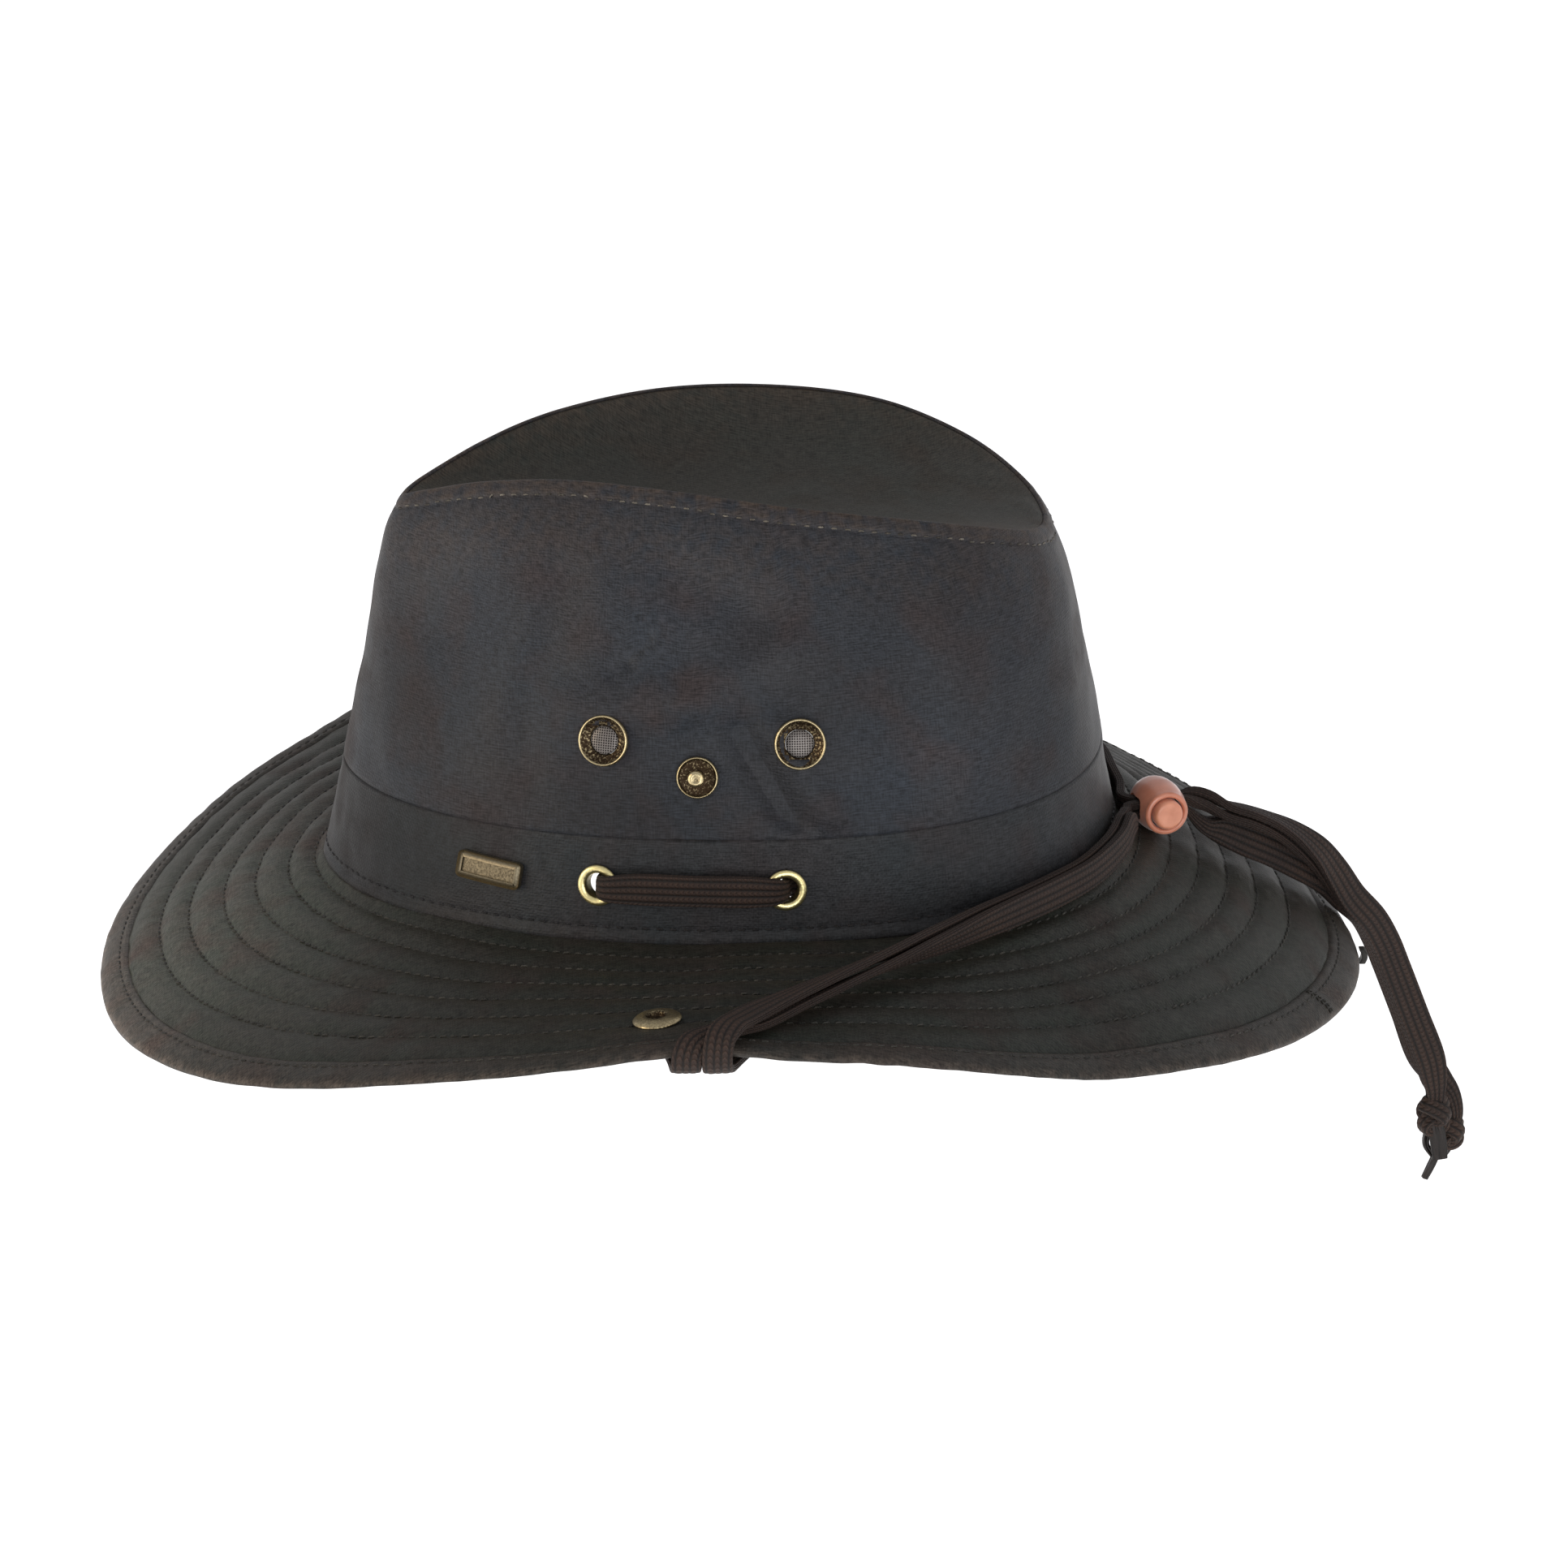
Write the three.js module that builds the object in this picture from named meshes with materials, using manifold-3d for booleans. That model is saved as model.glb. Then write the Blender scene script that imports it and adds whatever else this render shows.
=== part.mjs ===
// Oilskin hat: a dented teardrop crown of waxed cloth on a wide quilted brim, with mesh vents,
// snaps, a plain badge plate, and a braided chin cord drawn up behind the crown in a sprung cord lock.
//
// Millimetres, +Z up. The front of the hat is at -X, the back at +X and the wearer's left side at -Y.
// The origin is the middle of the head opening, in the plane where the crown meets the brim.
// Angles run round the hat from the back (0) over the wearer's right side to the front (180 degrees).

import * as THREE from 'three';
import { mergeVertices } from 'three/addons/utils/BufferGeometryUtils.js';
import Module from 'manifold-3d';

const wasm = await Module();
wasm.setup();

const DEG = Math.PI / 180;
const UP = new THREE.Vector3(0, 0, 1);

// Driving dimensions
const FACETS = 48;
const GAP = 0.3;
const CLOTH = 2.0;
const BRIM_THICKNESS = 2.6;
const RIM_FACING = 8.5;
const CORD = { width: 8.0, thickness: 2.0, layer: 1.4, tailLayer: 1.15 };
const TOGGLE = { at: [112.6, -7.0, 5.45], turn: 15 * DEG };

// Level curves of the hat: how far each reaches, how square its ends are, and how it droops.
// The rim also swells up a little on the way to its front and back.
const HEAD_OPENING = {
  shift: 0, front: 102.0, back: 101.6, side: 83.6, frontPower: 1.8, backPower: 2.5,
  height: 0, frontDrop: 7.0, backDrop: -3.0, frontBend: 2, backBend: 2,
};
const BAND_TOP = {
  shift: 1.0, front: 97.2, back: 97.0, side: 80.5, frontPower: 1.75, backPower: 2.35,
  height: 27.3, frontDrop: 6.8, backDrop: 0.3, frontBend: 2, backBend: 2,
};
const RIM = {
  shift: -5.4, front: 155.0, back: 172.0, side: 152.5, frontPower: 2.1, backPower: 1.9,
  height: 3.0, frontDrop: 40.4, backDrop: 41.0, frontBend: 1.3, backBend: 1.17,
  frontSwell: { height: 0.8, at: 0.4, wide: 0.25 },
  backSwell: { height: 2.3, at: 0.27, wide: 0.17 },
};

// The ridge where the side panels meet the top, every 20 degrees from the back to the front,
// with the depth of the dent in the top between its two sides
const RIDGE = { middle: 2.0, reach: 81.1, step: 20 * DEG };
const RIDGE_ROWS = [
  { halfWidth: 0, height: 82.6, dent: 0 },
  { halfWidth: 20.3, height: 86.0, dent: 2 },
  { halfWidth: 36.0, height: 92.6, dent: 6 },
  { halfWidth: 46.2, height: 98.7, dent: 11 },
  { halfWidth: 47.3, height: 102.3, dent: 14 },
  { halfWidth: 40.0, height: 104.4, dent: 15 },
  { halfWidth: 27.5, height: 103.4, dent: 12 },
  { halfWidth: 15.6, height: 99.0, dent: 7 },
  { halfWidth: 5.6, height: 93.6, dent: 2 },
  { halfWidth: 0, height: 91.0, dent: 0 },
];
const TIP_INSET = 2.6;

// Soft dents in the side panels: the front pinches and the dimples round the snap studs.
// Angles are for the right side and are mirrored to the left.
const DENTS = [
  { angle: 145, up: 0.66, wide: 12, tall: 0.26, depth: 5.0 },
  { angle: 97, up: 0.18, wide: 13, tall: 0.2, depth: 2.2 },
];

// Metal parts on the cloth, by their place along the hat and their height on its left side
const VENTS = { front: { x: -30.5, z: 49.0 }, back: { x: 17.4, z: 50.0 } };
const GROMMETS = { front: { x: -32.5, z: 13.7 }, back: { x: 13.6, z: 14.3 } };
const STUD = { x: -7.8, z: 41.5 };
const BRIM_SNAP = { angle: 263.7, out: 0.7 };
const BADGE = { fromX: -66.5, toX: -51.2, z: 12.5, height: 6.8, thickness: 1.2 };
const VENT_HOLE = 4.9;
const GROMMET_HOLE = 4.3;

// Turned profiles: radius and height above the cloth
const VENT_PROFILE = [
  [3.7, -3.4], [5.6, -3.4], [5.6, -2.9], [4.4, -2.9], [4.4, 1.0], [6.5, 1.0],
  [6.5, 1.5], [5.8, 2.1], [3.7, 1.3], [3.7, -3.4],
];
const MESH_PROFILE = [[0, -0.2], [3.35, -0.2], [3.35, 0.5], [0, 0.9]];
const GROMMET_PROFILE = [
  [3.2, -3.1], [4.8, -3.1], [4.8, -2.6], [3.8, -2.6], [3.8, 0.6], [5.25, 0.6],
  [5.25, 1.0], [4.4, 1.7], [3.2, 1.0], [3.2, -3.1],
];
const STUD_PROFILE = [
  [0, 0.6], [5.25, 0.6], [5.25, 1.1], [4.8, 1.5], [3.4, 1.5], [2.8, 1.0], [1.8, 1.0],
  [1.8, 3.2], [2.4, 3.9], [1.8, 4.9], [0, 5.1],
];
const SNAP_PROFILE = [
  [0, 0.4], [6.1, 0.4], [6.1, 0.8], [5.3, 1.5], [2.8, 1.9], [1.9, 0.9], [0, 0.9],
];
const BARREL_PROFILE = [
  [0, -8.3], [3.4, -7.8], [5.4, -6.3], [6.5, -3.4], [6.8, 0], [6.4, 3.6], [5.7, 6.8],
  [5.2, 7.6], [4.25, 7.2], [4.25, -6.8], [0, -6.8],
];
const PLUNGER_PROFILE = [[0, -4.3], [3.9, -4.3], [3.9, 8.7], [3.2, 9.3], [0, 9.4]];
const BARREL_WINDOW = { from: -4.2, to: 4.2, height: 5.8 };
const PLUNGER_WINDOW = { from: -3.3, to: 5.7, height: 5.8 };

// Chin cord. Each row is a point on the route, the way that the cord's flat side faces, and its
// size where it is squeezed. Each side's cord is two strands that meet inside its back grommet.

// The under strand: from the back grommet outside the band to the front one, and down
const LACING = [
  { at: [18.8, -76.6, 13.4], face: [0, 1, 0], width: 7.4 },
  { at: [15.5, -76.6, 13.6], face: [-0.4, 0.9, 0], width: 6.4 },
  { at: [13.9, -79.4, 14.1], face: [-0.95, 0.3, 0], width: 5.2 },
  { at: [13.4, -82.2, 14.3], face: [-1, 0, 0], width: 5.2 },
  { at: [11.4, -84.8, 14.8], face: [-0.6, 0.8, 0], width: 4.8 },
  { at: [5.0, -85.7, 15.3], face: [0, 1, 0], width: 7.6 },
  { at: [-9.0, -84.3, 15.2], face: [0.15, 0.99, 0] },
  { at: [-24.0, -81.6, 14.9], face: [0.3, 0.95, 0], width: 7.6 },
  { at: [-31.6, -79.2, 14.2], face: [0.75, 0.6, 0], width: 5.2 },
  { at: [-32.1, -75.4, 13.7], face: [0.94, -0.33, 0], width: 5.0 },
  { at: [-31.0, -71.6, 12.6], face: [0.94, -0.2, 0.1], width: 5.2 },
  { at: [-29.9, -70.3, 8.8], face: [0.8, 0.5, 0], width: 6.0 },
];
const UNDER_STRAND_BELOW = [
  { at: [-28.4, -71.8, 1.5], face: [0.4, 0.9, 0], width: 7.6 },
  { at: [-26.8, -73.8, -4.2], face: [0.1, 0.75, -0.6] },
  { at: [-25.2, -80.0, -6.2], face: [0, 0.2, -1] },
  { at: [-20.5, -104.0, -5.4], face: [0, 0, -1] },
  { at: [-14.0, -144.0, -3.4], face: [0, 0, -1] },
  { at: [-13.6, -151.4, -2.9], face: [0, -0.35, -0.9], width: 7.4 },
  { at: [-13.4, -155.0, -0.8], face: [0, -0.9, -0.4], width: 7.4 },
  { at: [-13.3, -155.4, 1.8], face: [0, -0.95, 0.3], width: 7.4 },
  { at: [-11.8, -153.4, 4.2], face: [0.1, -0.4, 0.9], width: 7.4 },
  { at: [-7.2, -148.4, 4.6], face: [0, 0, 1] },
  { at: [-1.2, -142.8, 4.1], face: [0, 0, 1] },
];
// The top strand: from the back grommet down, under the brim and over the rim
const TOP_STRAND_BELOW = [
  { at: [20.6, -76.2, 14.3], face: [0, 1, 0], width: 6.0 },
  { at: [23.6, -75.7, 13.6], face: [0, 1, 0], width: 6.0 },
  { at: [25.8, -75.3, 11.4], face: [0, 1, 0], width: 6.0 },
  { at: [26.4, -75.2, 8.2], face: [0, 1, 0], width: 7.0 },
  { at: [26.0, -75.6, 1.0], face: [0, 1, 0] },
  { at: [24.6, -77.6, -4.0], face: [0, 0.75, -0.6] },
  { at: [22.4, -82.6, -5.8], face: [0, 0.2, -1] },
  { at: [13.4, -105.0, -5.6], face: [0, 0, -1] },
  { at: [-2.6, -143.0, -3.8], face: [0, 0, -1] },
  { at: [-5.4, -151.6, -3.0], face: [0, -0.35, -0.9], width: 7.4 },
  { at: [-6.0, -155.6, -0.6], face: [0, -0.9, -0.4], width: 7.4 },
  { at: [-6.0, -156.4, 2.8], face: [0, -0.95, 0.3], width: 7.4 },
  { at: [-5.2, -154.4, 6.2], face: [0, -0.5, 0.9], width: 7.4 },
  { at: [-3.0, -150.2, 7.5], face: [0, 0, 1] },
  { at: [0.2, -144.2, 6.8], face: [0, 0, 1] },
];
// Both strands of a side, the top one on the crown's side: straight over the brim, from flat
// at the rim to on edge, and then round the band
const ALONG_BRIM = [
  { at: [3.8, -139.0, 5.0], face: [0, 0.05, 1] },
  { at: [13.8, -129.0, 5.0], face: [-0.18, 0.19, 0.97] },
  { at: [25.2, -118.8, 5.5], face: [-0.3, 0.32, 0.9] },
  { at: [36.2, -109.4, 6.2], face: [-0.4, 0.43, 0.81] },
  { at: [46.4, -100.2, 6.4], face: [-0.54, 0.57, 0.62] },
  { at: [54.2, -92.6, 6.1], face: [-0.62, 0.66, 0.42] },
  { at: [62.2, -84.6, 5.9], face: [-0.67, 0.71, 0.2] },
  { at: [72.2, -74.8, 5.7], face: [-0.69, 0.72, 0] },
  { at: [82.2, -64.4, 5.8], face: [-0.7, 0.7, -0.05] },
  { at: [90.2, -55.2, 6.2], face: [-0.77, 0.63, -0.08], width: 7.6 },
  { at: [95.8, -45.9, 6.6], face: [-0.86, 0.5, -0.08], width: 7.6 },
  { at: [100.1, -35.8, 6.8], face: [-0.93, 0.35, -0.08], width: 7.2 },
  { at: [103.0, -24.6, 6.8], face: [-0.98, 0.18, -0.04], width: 7.0 },
];
// Into the cord lock: the left side's strands come from -Y and the right side's from +Y. The right
// side's strands lie one above the other beside the band, in place of the last shared rows.
const FAR_ROWS_OF_THEIR_OWN = 3;
const INTO_LOCK = {
  nearTop: [
    { at: [102.9, -19.6, 8.0], face: [-0.98, 0.15, 0], width: 3.0 },
    { at: [104.1, -14.8, 6.7], face: [-1, 0, 0], width: 2.3, thickness: 2.1 },
    { at: [104.6, -11.8, 6.6], face: [-0.9, 0.4, 0], width: 2.2, thickness: 2.1 },
    { at: [107.6, -10.3, 6.6], face: [-0.26, 0.97, 0], width: 2.1, thickness: 2.7 },
  ],
  nearUnder: [
    { at: [105.5, -20.0, 5.2], face: [-0.98, 0.15, 0], width: 3.0 },
    { at: [104.6, -14.8, 4.1], face: [-1, 0, 0], width: 2.3, thickness: 2.1 },
    { at: [104.6, -11.8, 4.0], face: [-0.9, 0.4, 0], width: 2.2, thickness: 2.1 },
    { at: [107.6, -10.3, 4.0], face: [-0.26, 0.97, 0], width: 2.1, thickness: 2.7 },
  ],
  farTop: [
    { at: [94.6, 45.2, 8.0], face: [-0.86, -0.5, -0.08], width: 4.4 },
    { at: [98.8, 35.3, 7.0], face: [-0.93, -0.35, -0.08], width: 3.6 },
    { at: [101.6, 24.4, 7.0], face: [-0.98, -0.18, -0.04], width: 3.2 },
    { at: [102.7, 12.0, 7.3], face: [-1, -0.1, 0], width: 2.8 },
    { at: [103.9, 4.0, 6.7], face: [-1, 0, 0], width: 2.3 },
    { at: [103.8, -5.0, 6.6], face: [-1, 0, 0], width: 2.2 },
    { at: [107.2, -7.3, 6.6], face: [0.26, -0.97, 0], width: 2.1, thickness: 2.5 },
  ],
  farUnder: [
    { at: [96.4, 46.3, 3.6], face: [-0.86, -0.5, -0.08], width: 4.4 },
    { at: [99.5, 35.6, 3.4], face: [-0.93, -0.35, -0.08], width: 3.4 },
    { at: [102.1, 24.5, 3.7], face: [-0.98, -0.18, -0.04], width: 3.0 },
    { at: [103.2, 12.0, 4.2], face: [-1, -0.1, 0], width: 2.8 },
    { at: [104.2, 4.0, 4.1], face: [-1, 0, 0], width: 2.3 },
    { at: [103.8, -5.0, 4.0], face: [-1, 0, 0], width: 2.2 },
    { at: [107.2, -7.3, 4.0], face: [0.26, -0.97, 0], width: 2.1, thickness: 2.5 },
  ],
};
// Out of the lock, where the left and right strands run as an upper and a lower pair
const UPPER_PAIR = [
  { at: [119.3, -5.7, 6.6], face: [-0.26, 0.97, 0], width: 2.1, thickness: 2.6, spread: 1.55 },
  { at: [121.9, -5.0, 6.4], face: [-0.1, 0.87, 0.5], width: 2.4, thickness: 2.2, spread: 1.6 },
  { at: [125.9, -4.6, 5.0], face: [0, 0.5, 0.87], width: 3.8, spread: 1.5 },
  { at: [130.2, -3.5, 2.1], face: [0, 0.15, 1], width: 5.8, spread: 1.3 },
  { at: [136.8, -1.0, -0.8], face: [0, 0, 1], width: 7.4, spread: 1.2 },
  { at: [143.2, 2.3, -4.6], face: [0.1, -0.1, 1], thickness: 1.9, spread: 1.25 },
  { at: [149.6, 4.8, -9.0], face: [0.3, -0.3, 0.9], thickness: 1.9, spread: 1.35 },
  { at: [155.6, 6.7, -14.2], face: [0.5, -0.6, 0.6], thickness: 1.9, spread: 1.35 },
  { at: [160.6, 9.4, -21.0], face: [0.5, -0.8, 0.3], thickness: 1.9, spread: 1.2 },
  { at: [165.4, 11.8, -28.8], face: [0.4, -0.9, 0.15], spread: 1.1 },
];
const LOWER_PAIR = [
  { at: [119.3, -5.7, 4.0], face: [-0.26, 0.97, 0], width: 2.1, thickness: 2.6, spread: 1.55 },
  { at: [121.4, -5.0, 1.9], face: [-0.2, 0.97, 0], width: 2.4, thickness: 2.2, spread: 1.5 },
  { at: [125.2, -4.0, -1.9], face: [-0.1, 0.95, -0.15], width: 4.2, spread: 1.3 },
  { at: [128.8, -2.3, -3.8], face: [0, 0.93, -0.3], width: 6.4, spread: 1.2 },
  { at: [136.6, 1.5, -8.7], face: [0, 0.93, -0.35], spread: 1.1 },
  { at: [143.8, 5.6, -13.4], face: [0, 0.93, -0.35], spread: 1.1 },
  { at: [152.0, 9.9, -19.3], face: [-0.05, 0.93, -0.35], spread: 1.1 },
  { at: [159.8, 14.6, -25.7], face: [-0.15, 0.95, -0.3], spread: 1.1 },
  { at: [165.4, 17.0, -32.0], face: [-0.25, 0.95, -0.2], spread: 1.1 },
];
// The two pairs together, over the rim at the back and down
const HANGING = [
  { at: [170.6, 16.0, -36.3], face: [0.3, -0.95, 0.12], spread: 1.08 },
  { at: [174.6, 17.0, -43.7], face: [0.3, -0.95, 0.12], spread: 1.08 },
  { at: [177.4, 17.0, -50.7], face: [0.3, -0.95, 0.1], spread: 1.08 },
  { at: [182.7, 16.6, -64.6], face: [0.3, -0.95, 0.1], spread: 1.08 },
  { at: [187.6, 15.8, -77.8], face: [0.3, -0.95, 0.1], spread: 1.08 },
];
const UPPER_END = [
  { at: [189.4, 13.7, -83.0], face: [0.2, -0.97, 0], width: 6.4, spread: 1.05 },
  { at: [189.9, 14.0, -86.0], face: [0.1, -1, 0], width: 5.0, spread: 1.0 },
];
const LOWER_END = [
  { at: [191.4, 18.9, -84.8], face: [-0.35, 0.93, 0], width: 6.6, spread: 1.05 },
  { at: [194.2, 19.5, -89.4], face: [-0.5, 0.87, 0], width: 5.4, spread: 1.0 },
  { at: [195.4, 19.0, -94.2], face: [-0.5, 0.87, 0], width: 4.6, spread: 1.0 },
];
const KNOTS = {
  inner: { at: [189.8, 14.4, -93.0], size: [3.6, 4.0, 6.0] },
  outer: { at: [194.8, 18.0, -99.6], size: [2.9, 3.8, 5.0] },
};
const CORD_ENDS = [
  { from: [190.4, 12.9, -96.0], to: [191.6, 12.5, -105.4], size: [4.4, 2.0] },
  { from: [191.2, 15.4, -97.0], to: [187.8, 15.2, -112.2], size: [1.9, 1.9] },
];

const FINISHES = {
  cloth: new THREE.MeshStandardMaterial({ color: 0x3a3c3e, roughness: 0.62, metalness: 0 }),
  tip: new THREE.MeshStandardMaterial({ color: 0x353534, roughness: 0.62, metalness: 0 }),
  brim: new THREE.MeshStandardMaterial({ color: 0x3f403c, roughness: 0.66, metalness: 0 }),
  brass: new THREE.MeshStandardMaterial({ color: 0x918464, roughness: 0.32, metalness: 1 }),
  mesh: new THREE.MeshStandardMaterial({ color: 0x77756e, roughness: 0.45, metalness: 1 }),
  cord: new THREE.MeshStandardMaterial({ color: 0x302926, roughness: 0.8, metalness: 0 }),
  toggle: new THREE.MeshStandardMaterial({ color: 0x975e4a, roughness: 0.35, metalness: 0 }),
};

// Curves and surfaces of the hat

function oval(size, angle) {
  const c = Math.cos(angle);
  const s = Math.sin(angle);
  const front = c < 0;
  const power = 2 / (front ? size.frontPower : size.backPower);
  const reach = front ? size.front : size.back;
  const drop = front ? size.frontDrop : size.backDrop;
  const bend = front ? size.frontBend : size.backBend;
  const swell = front ? size.frontSwell : size.backSwell;
  const raised = swell ? swell.height * Math.exp(-(((Math.abs(c) - swell.at) / swell.wide) ** 2)) : 0;
  return new THREE.Vector3(
    size.shift + reach * Math.sign(c) * Math.abs(c) ** power,
    size.side * Math.sign(s) * Math.abs(s) ** power,
    size.height - drop * Math.abs(c) ** bend + raised,
  );
}

// A smooth value between the rows of the ridge table; beyond its ends it is mirrored by sign
function ridgeValue(key, turn, sign) {
  const last = RIDGE_ROWS.length - 1;
  const place = Math.min(turn / RIDGE.step, last - 1e-9);
  const row = Math.floor(place);
  const f = place - row;
  const pick = (k) => {
    if (k < 0) return sign * RIDGE_ROWS[-k][key];
    if (k > last) return sign * RIDGE_ROWS[2 * last - k][key];
    return RIDGE_ROWS[k][key];
  };
  const [a, b, c, d] = [row - 1, row, row + 1, row + 2].map(pick);
  const slope = (c - a) * f;
  const square = (2 * a - 5 * b + 4 * c - d) * f * f;
  const cube = (3 * b - a - 3 * c + d) * f ** 3;
  return b + 0.5 * (slope + square + cube);
}

function foldedTurn(angle) {
  const turn = ((angle % (2 * Math.PI)) + 2 * Math.PI) % (2 * Math.PI);
  return turn > Math.PI ? { turn: 2 * Math.PI - turn, side: -1 } : { turn, side: 1 };
}

function ridge(angle) {
  const { turn, side } = foldedTurn(angle);
  return new THREE.Vector3(
    RIDGE.middle + RIDGE.reach * Math.cos(turn),
    side * ridgeValue('halfWidth', turn, -1),
    ridgeValue('height', turn, 1),
  );
}

// The side panels: from the top of the band (up = 0) to the ridge (up = 1). They rise steeply
// at the front and back and lean in more and more at the sides.
function crownSide(angle, up) {
  const low = oval(BAND_TOP, angle);
  const high = ridge(angle);
  const side = Math.abs(Math.sin(angle));
  const straight = THREE.MathUtils.lerp(0.75, 0.45, side);
  const power = THREE.MathUtils.lerp(10, 2.5, side);
  const inward = straight * up + (1 - straight) * up ** power;
  const point = new THREE.Vector3(
    THREE.MathUtils.lerp(low.x, high.x, inward),
    THREE.MathUtils.lerp(low.y, high.y, inward),
    THREE.MathUtils.lerp(low.z, high.z, up),
  );
  const { turn } = foldedTurn(angle);
  const plan = new THREE.Vector3(point.x * 0.6, point.y, 0).normalize();
  for (const dent of DENTS) {
    const across = (turn / DEG - dent.angle) / dent.wide;
    const rise = (up - dent.up) / dent.tall;
    point.addScaledVector(plan, -dent.depth * Math.exp(-across * across - rise * rise));
  }
  return point;
}

// The band: from the head opening (up = 0) to the seam under the side panels (up = 1)
function bandSide(angle, up) {
  return oval(HEAD_OPENING, angle).lerp(oval(BAND_TOP, angle), up);
}

// The upper face of the brim: from the head opening (out = 0) to the rim (out = 1)
function brimTop(angle, out) {
  const inner = oval(HEAD_OPENING, angle);
  const outer = oval(RIM, angle);
  const point = inner.clone().lerp(outer, out);
  const fall = out > 0 ? 0.75 * out + 0.25 * out * out : 0;
  point.z = inner.z + (outer.z - inner.z) * fall;
  return point;
}

function outwardNormal(surface, angle, along) {
  const step = 1e-3;
  const low = along === 0 ? 0 : along - step;
  const high = along === 1 ? 1 : along + step;
  const around = surface(angle + step, along).sub(surface(angle - step, along));
  const onward = surface(angle, high).sub(surface(angle, low));
  return around.cross(onward).normalize();
}

// The face of a wall, moved along its normal
function offset(surface, angle, along, distance, facing = 1) {
  return surface(angle, along).addScaledVector(outwardNormal(surface, angle, along), facing * distance);
}

// Closed solids

function solidFrom(vertices, triangles) {
  const loose = new THREE.BufferGeometry();
  loose.setAttribute('position', new THREE.Float32BufferAttribute(vertices, 3));
  loose.setIndex(triangles);
  const merged = mergeVertices(loose, 1e-4);
  const corners = merged.getIndex().array;
  const kept = [];
  for (let i = 0; i < corners.length; i += 3) {
    const [a, b, c] = [corners[i], corners[i + 1], corners[i + 2]];
    if (a !== b && b !== c && c !== a) kept.push(a, b, c);
  }
  merged.setIndex(kept);
  if (volumeOf(merged) < 0) {
    for (let i = 0; i < kept.length; i += 3) [kept[i + 1], kept[i + 2]] = [kept[i + 2], kept[i + 1]];
    merged.setIndex(kept);
  }
  merged.computeVertexNormals();
  return merged;
}

function volumeOf(geometry) {
  const place = geometry.getAttribute('position');
  const corners = geometry.getIndex().array;
  const [a, b, c] = [new THREE.Vector3(), new THREE.Vector3(), new THREE.Vector3()];
  let sum = 0;
  for (let i = 0; i < corners.length; i += 3) {
    a.fromBufferAttribute(place, corners[i]);
    b.fromBufferAttribute(place, corners[i + 1]);
    c.fromBufferAttribute(place, corners[i + 2]);
    sum += a.dot(b.cross(c));
  }
  return sum / 6;
}

// A sheet with two faces, each a function of the column and row, and walls round its open edges
function sheet(upper, lower, columns, rows, closed) {
  const across = closed ? columns : columns + 1;
  const vertices = [];
  for (const face of [upper, lower]) {
    for (let i = 0; i < across; i += 1) {
      for (let j = 0; j <= rows; j += 1) vertices.push(...face(i, j).toArray());
    }
  }
  const at = (face, i, j) => (face * across + (i % across)) * (rows + 1) + j;
  const triangles = [];
  const quad = (a, b, c, d) => triangles.push(a, b, c, a, c, d);
  for (let i = 0; i < columns; i += 1) {
    for (let j = 0; j < rows; j += 1) {
      quad(at(0, i, j), at(0, i + 1, j), at(0, i + 1, j + 1), at(0, i, j + 1));
      quad(at(1, i, j), at(1, i, j + 1), at(1, i + 1, j + 1), at(1, i + 1, j));
    }
    quad(at(0, i, 0), at(1, i, 0), at(1, i + 1, 0), at(0, i + 1, 0));
    quad(at(0, i, rows), at(0, i + 1, rows), at(1, i + 1, rows), at(1, i, rows));
  }
  for (let j = 0; j < rows && !closed; j += 1) {
    quad(at(0, 0, j), at(0, 0, j + 1), at(1, 0, j + 1), at(1, 0, j));
    quad(at(0, columns, j), at(1, columns, j), at(1, columns, j + 1), at(0, columns, j + 1));
  }
  return solidFrom(vertices, triangles);
}

function turned(profile, segments) {
  const lathe = new THREE.LatheGeometry(profile.map(([r, h]) => new THREE.Vector2(r, h)), segments);
  lathe.rotateX(Math.PI / 2);
  return closedCopy(lathe);
}

function closedCopy(geometry) {
  const index = geometry.getIndex();
  const count = geometry.getAttribute('position').count;
  const triangles = index ? [...index.array] : [...Array(count).keys()];
  return solidFrom([...geometry.getAttribute('position').array], triangles);
}

function toManifold(geometry) {
  const vertProperties = new Float32Array(geometry.getAttribute('position').array);
  const triVerts = new Uint32Array(geometry.getIndex().array);
  return new wasm.Manifold(new wasm.Mesh({ numProp: 3, vertProperties, triVerts }));
}

function fromManifold(manifold) {
  const mesh = manifold.getMesh();
  const points = [];
  for (let i = 0; i < mesh.vertProperties.length; i += mesh.numProp) {
    points.push(mesh.vertProperties[i], mesh.vertProperties[i + 1], mesh.vertProperties[i + 2]);
  }
  return solidFrom(points, [...mesh.triVerts]);
}

function cut(geometry, tools) {
  let left = toManifold(geometry);
  for (const tool of tools) left = left.subtract(toManifold(tool));
  return fromManifold(left);
}

// Places on the cloth

// The angle and height share at which a side surface has the given place along the hat and height
function settle(surface, x, z, side) {
  let angle = Math.acos(THREE.MathUtils.clamp(x / 95, -1, 1)) * side;
  let up = 0.4;
  const step = 1e-4;
  for (let round = 0; round < 12; round += 1) {
    const here = surface(angle, up);
    const turned = surface(angle + step, up).sub(here).divideScalar(step);
    const raised = surface(angle, up + step).sub(here).divideScalar(step);
    const [dx, dz] = [x - here.x, z - here.z];
    const det = turned.x * raised.z - raised.x * turned.z;
    angle += (dx * raised.z - raised.x * dz) / det;
    up += (turned.x * dz - turned.z * dx) / det;
  }
  return { angle, up };
}

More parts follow.
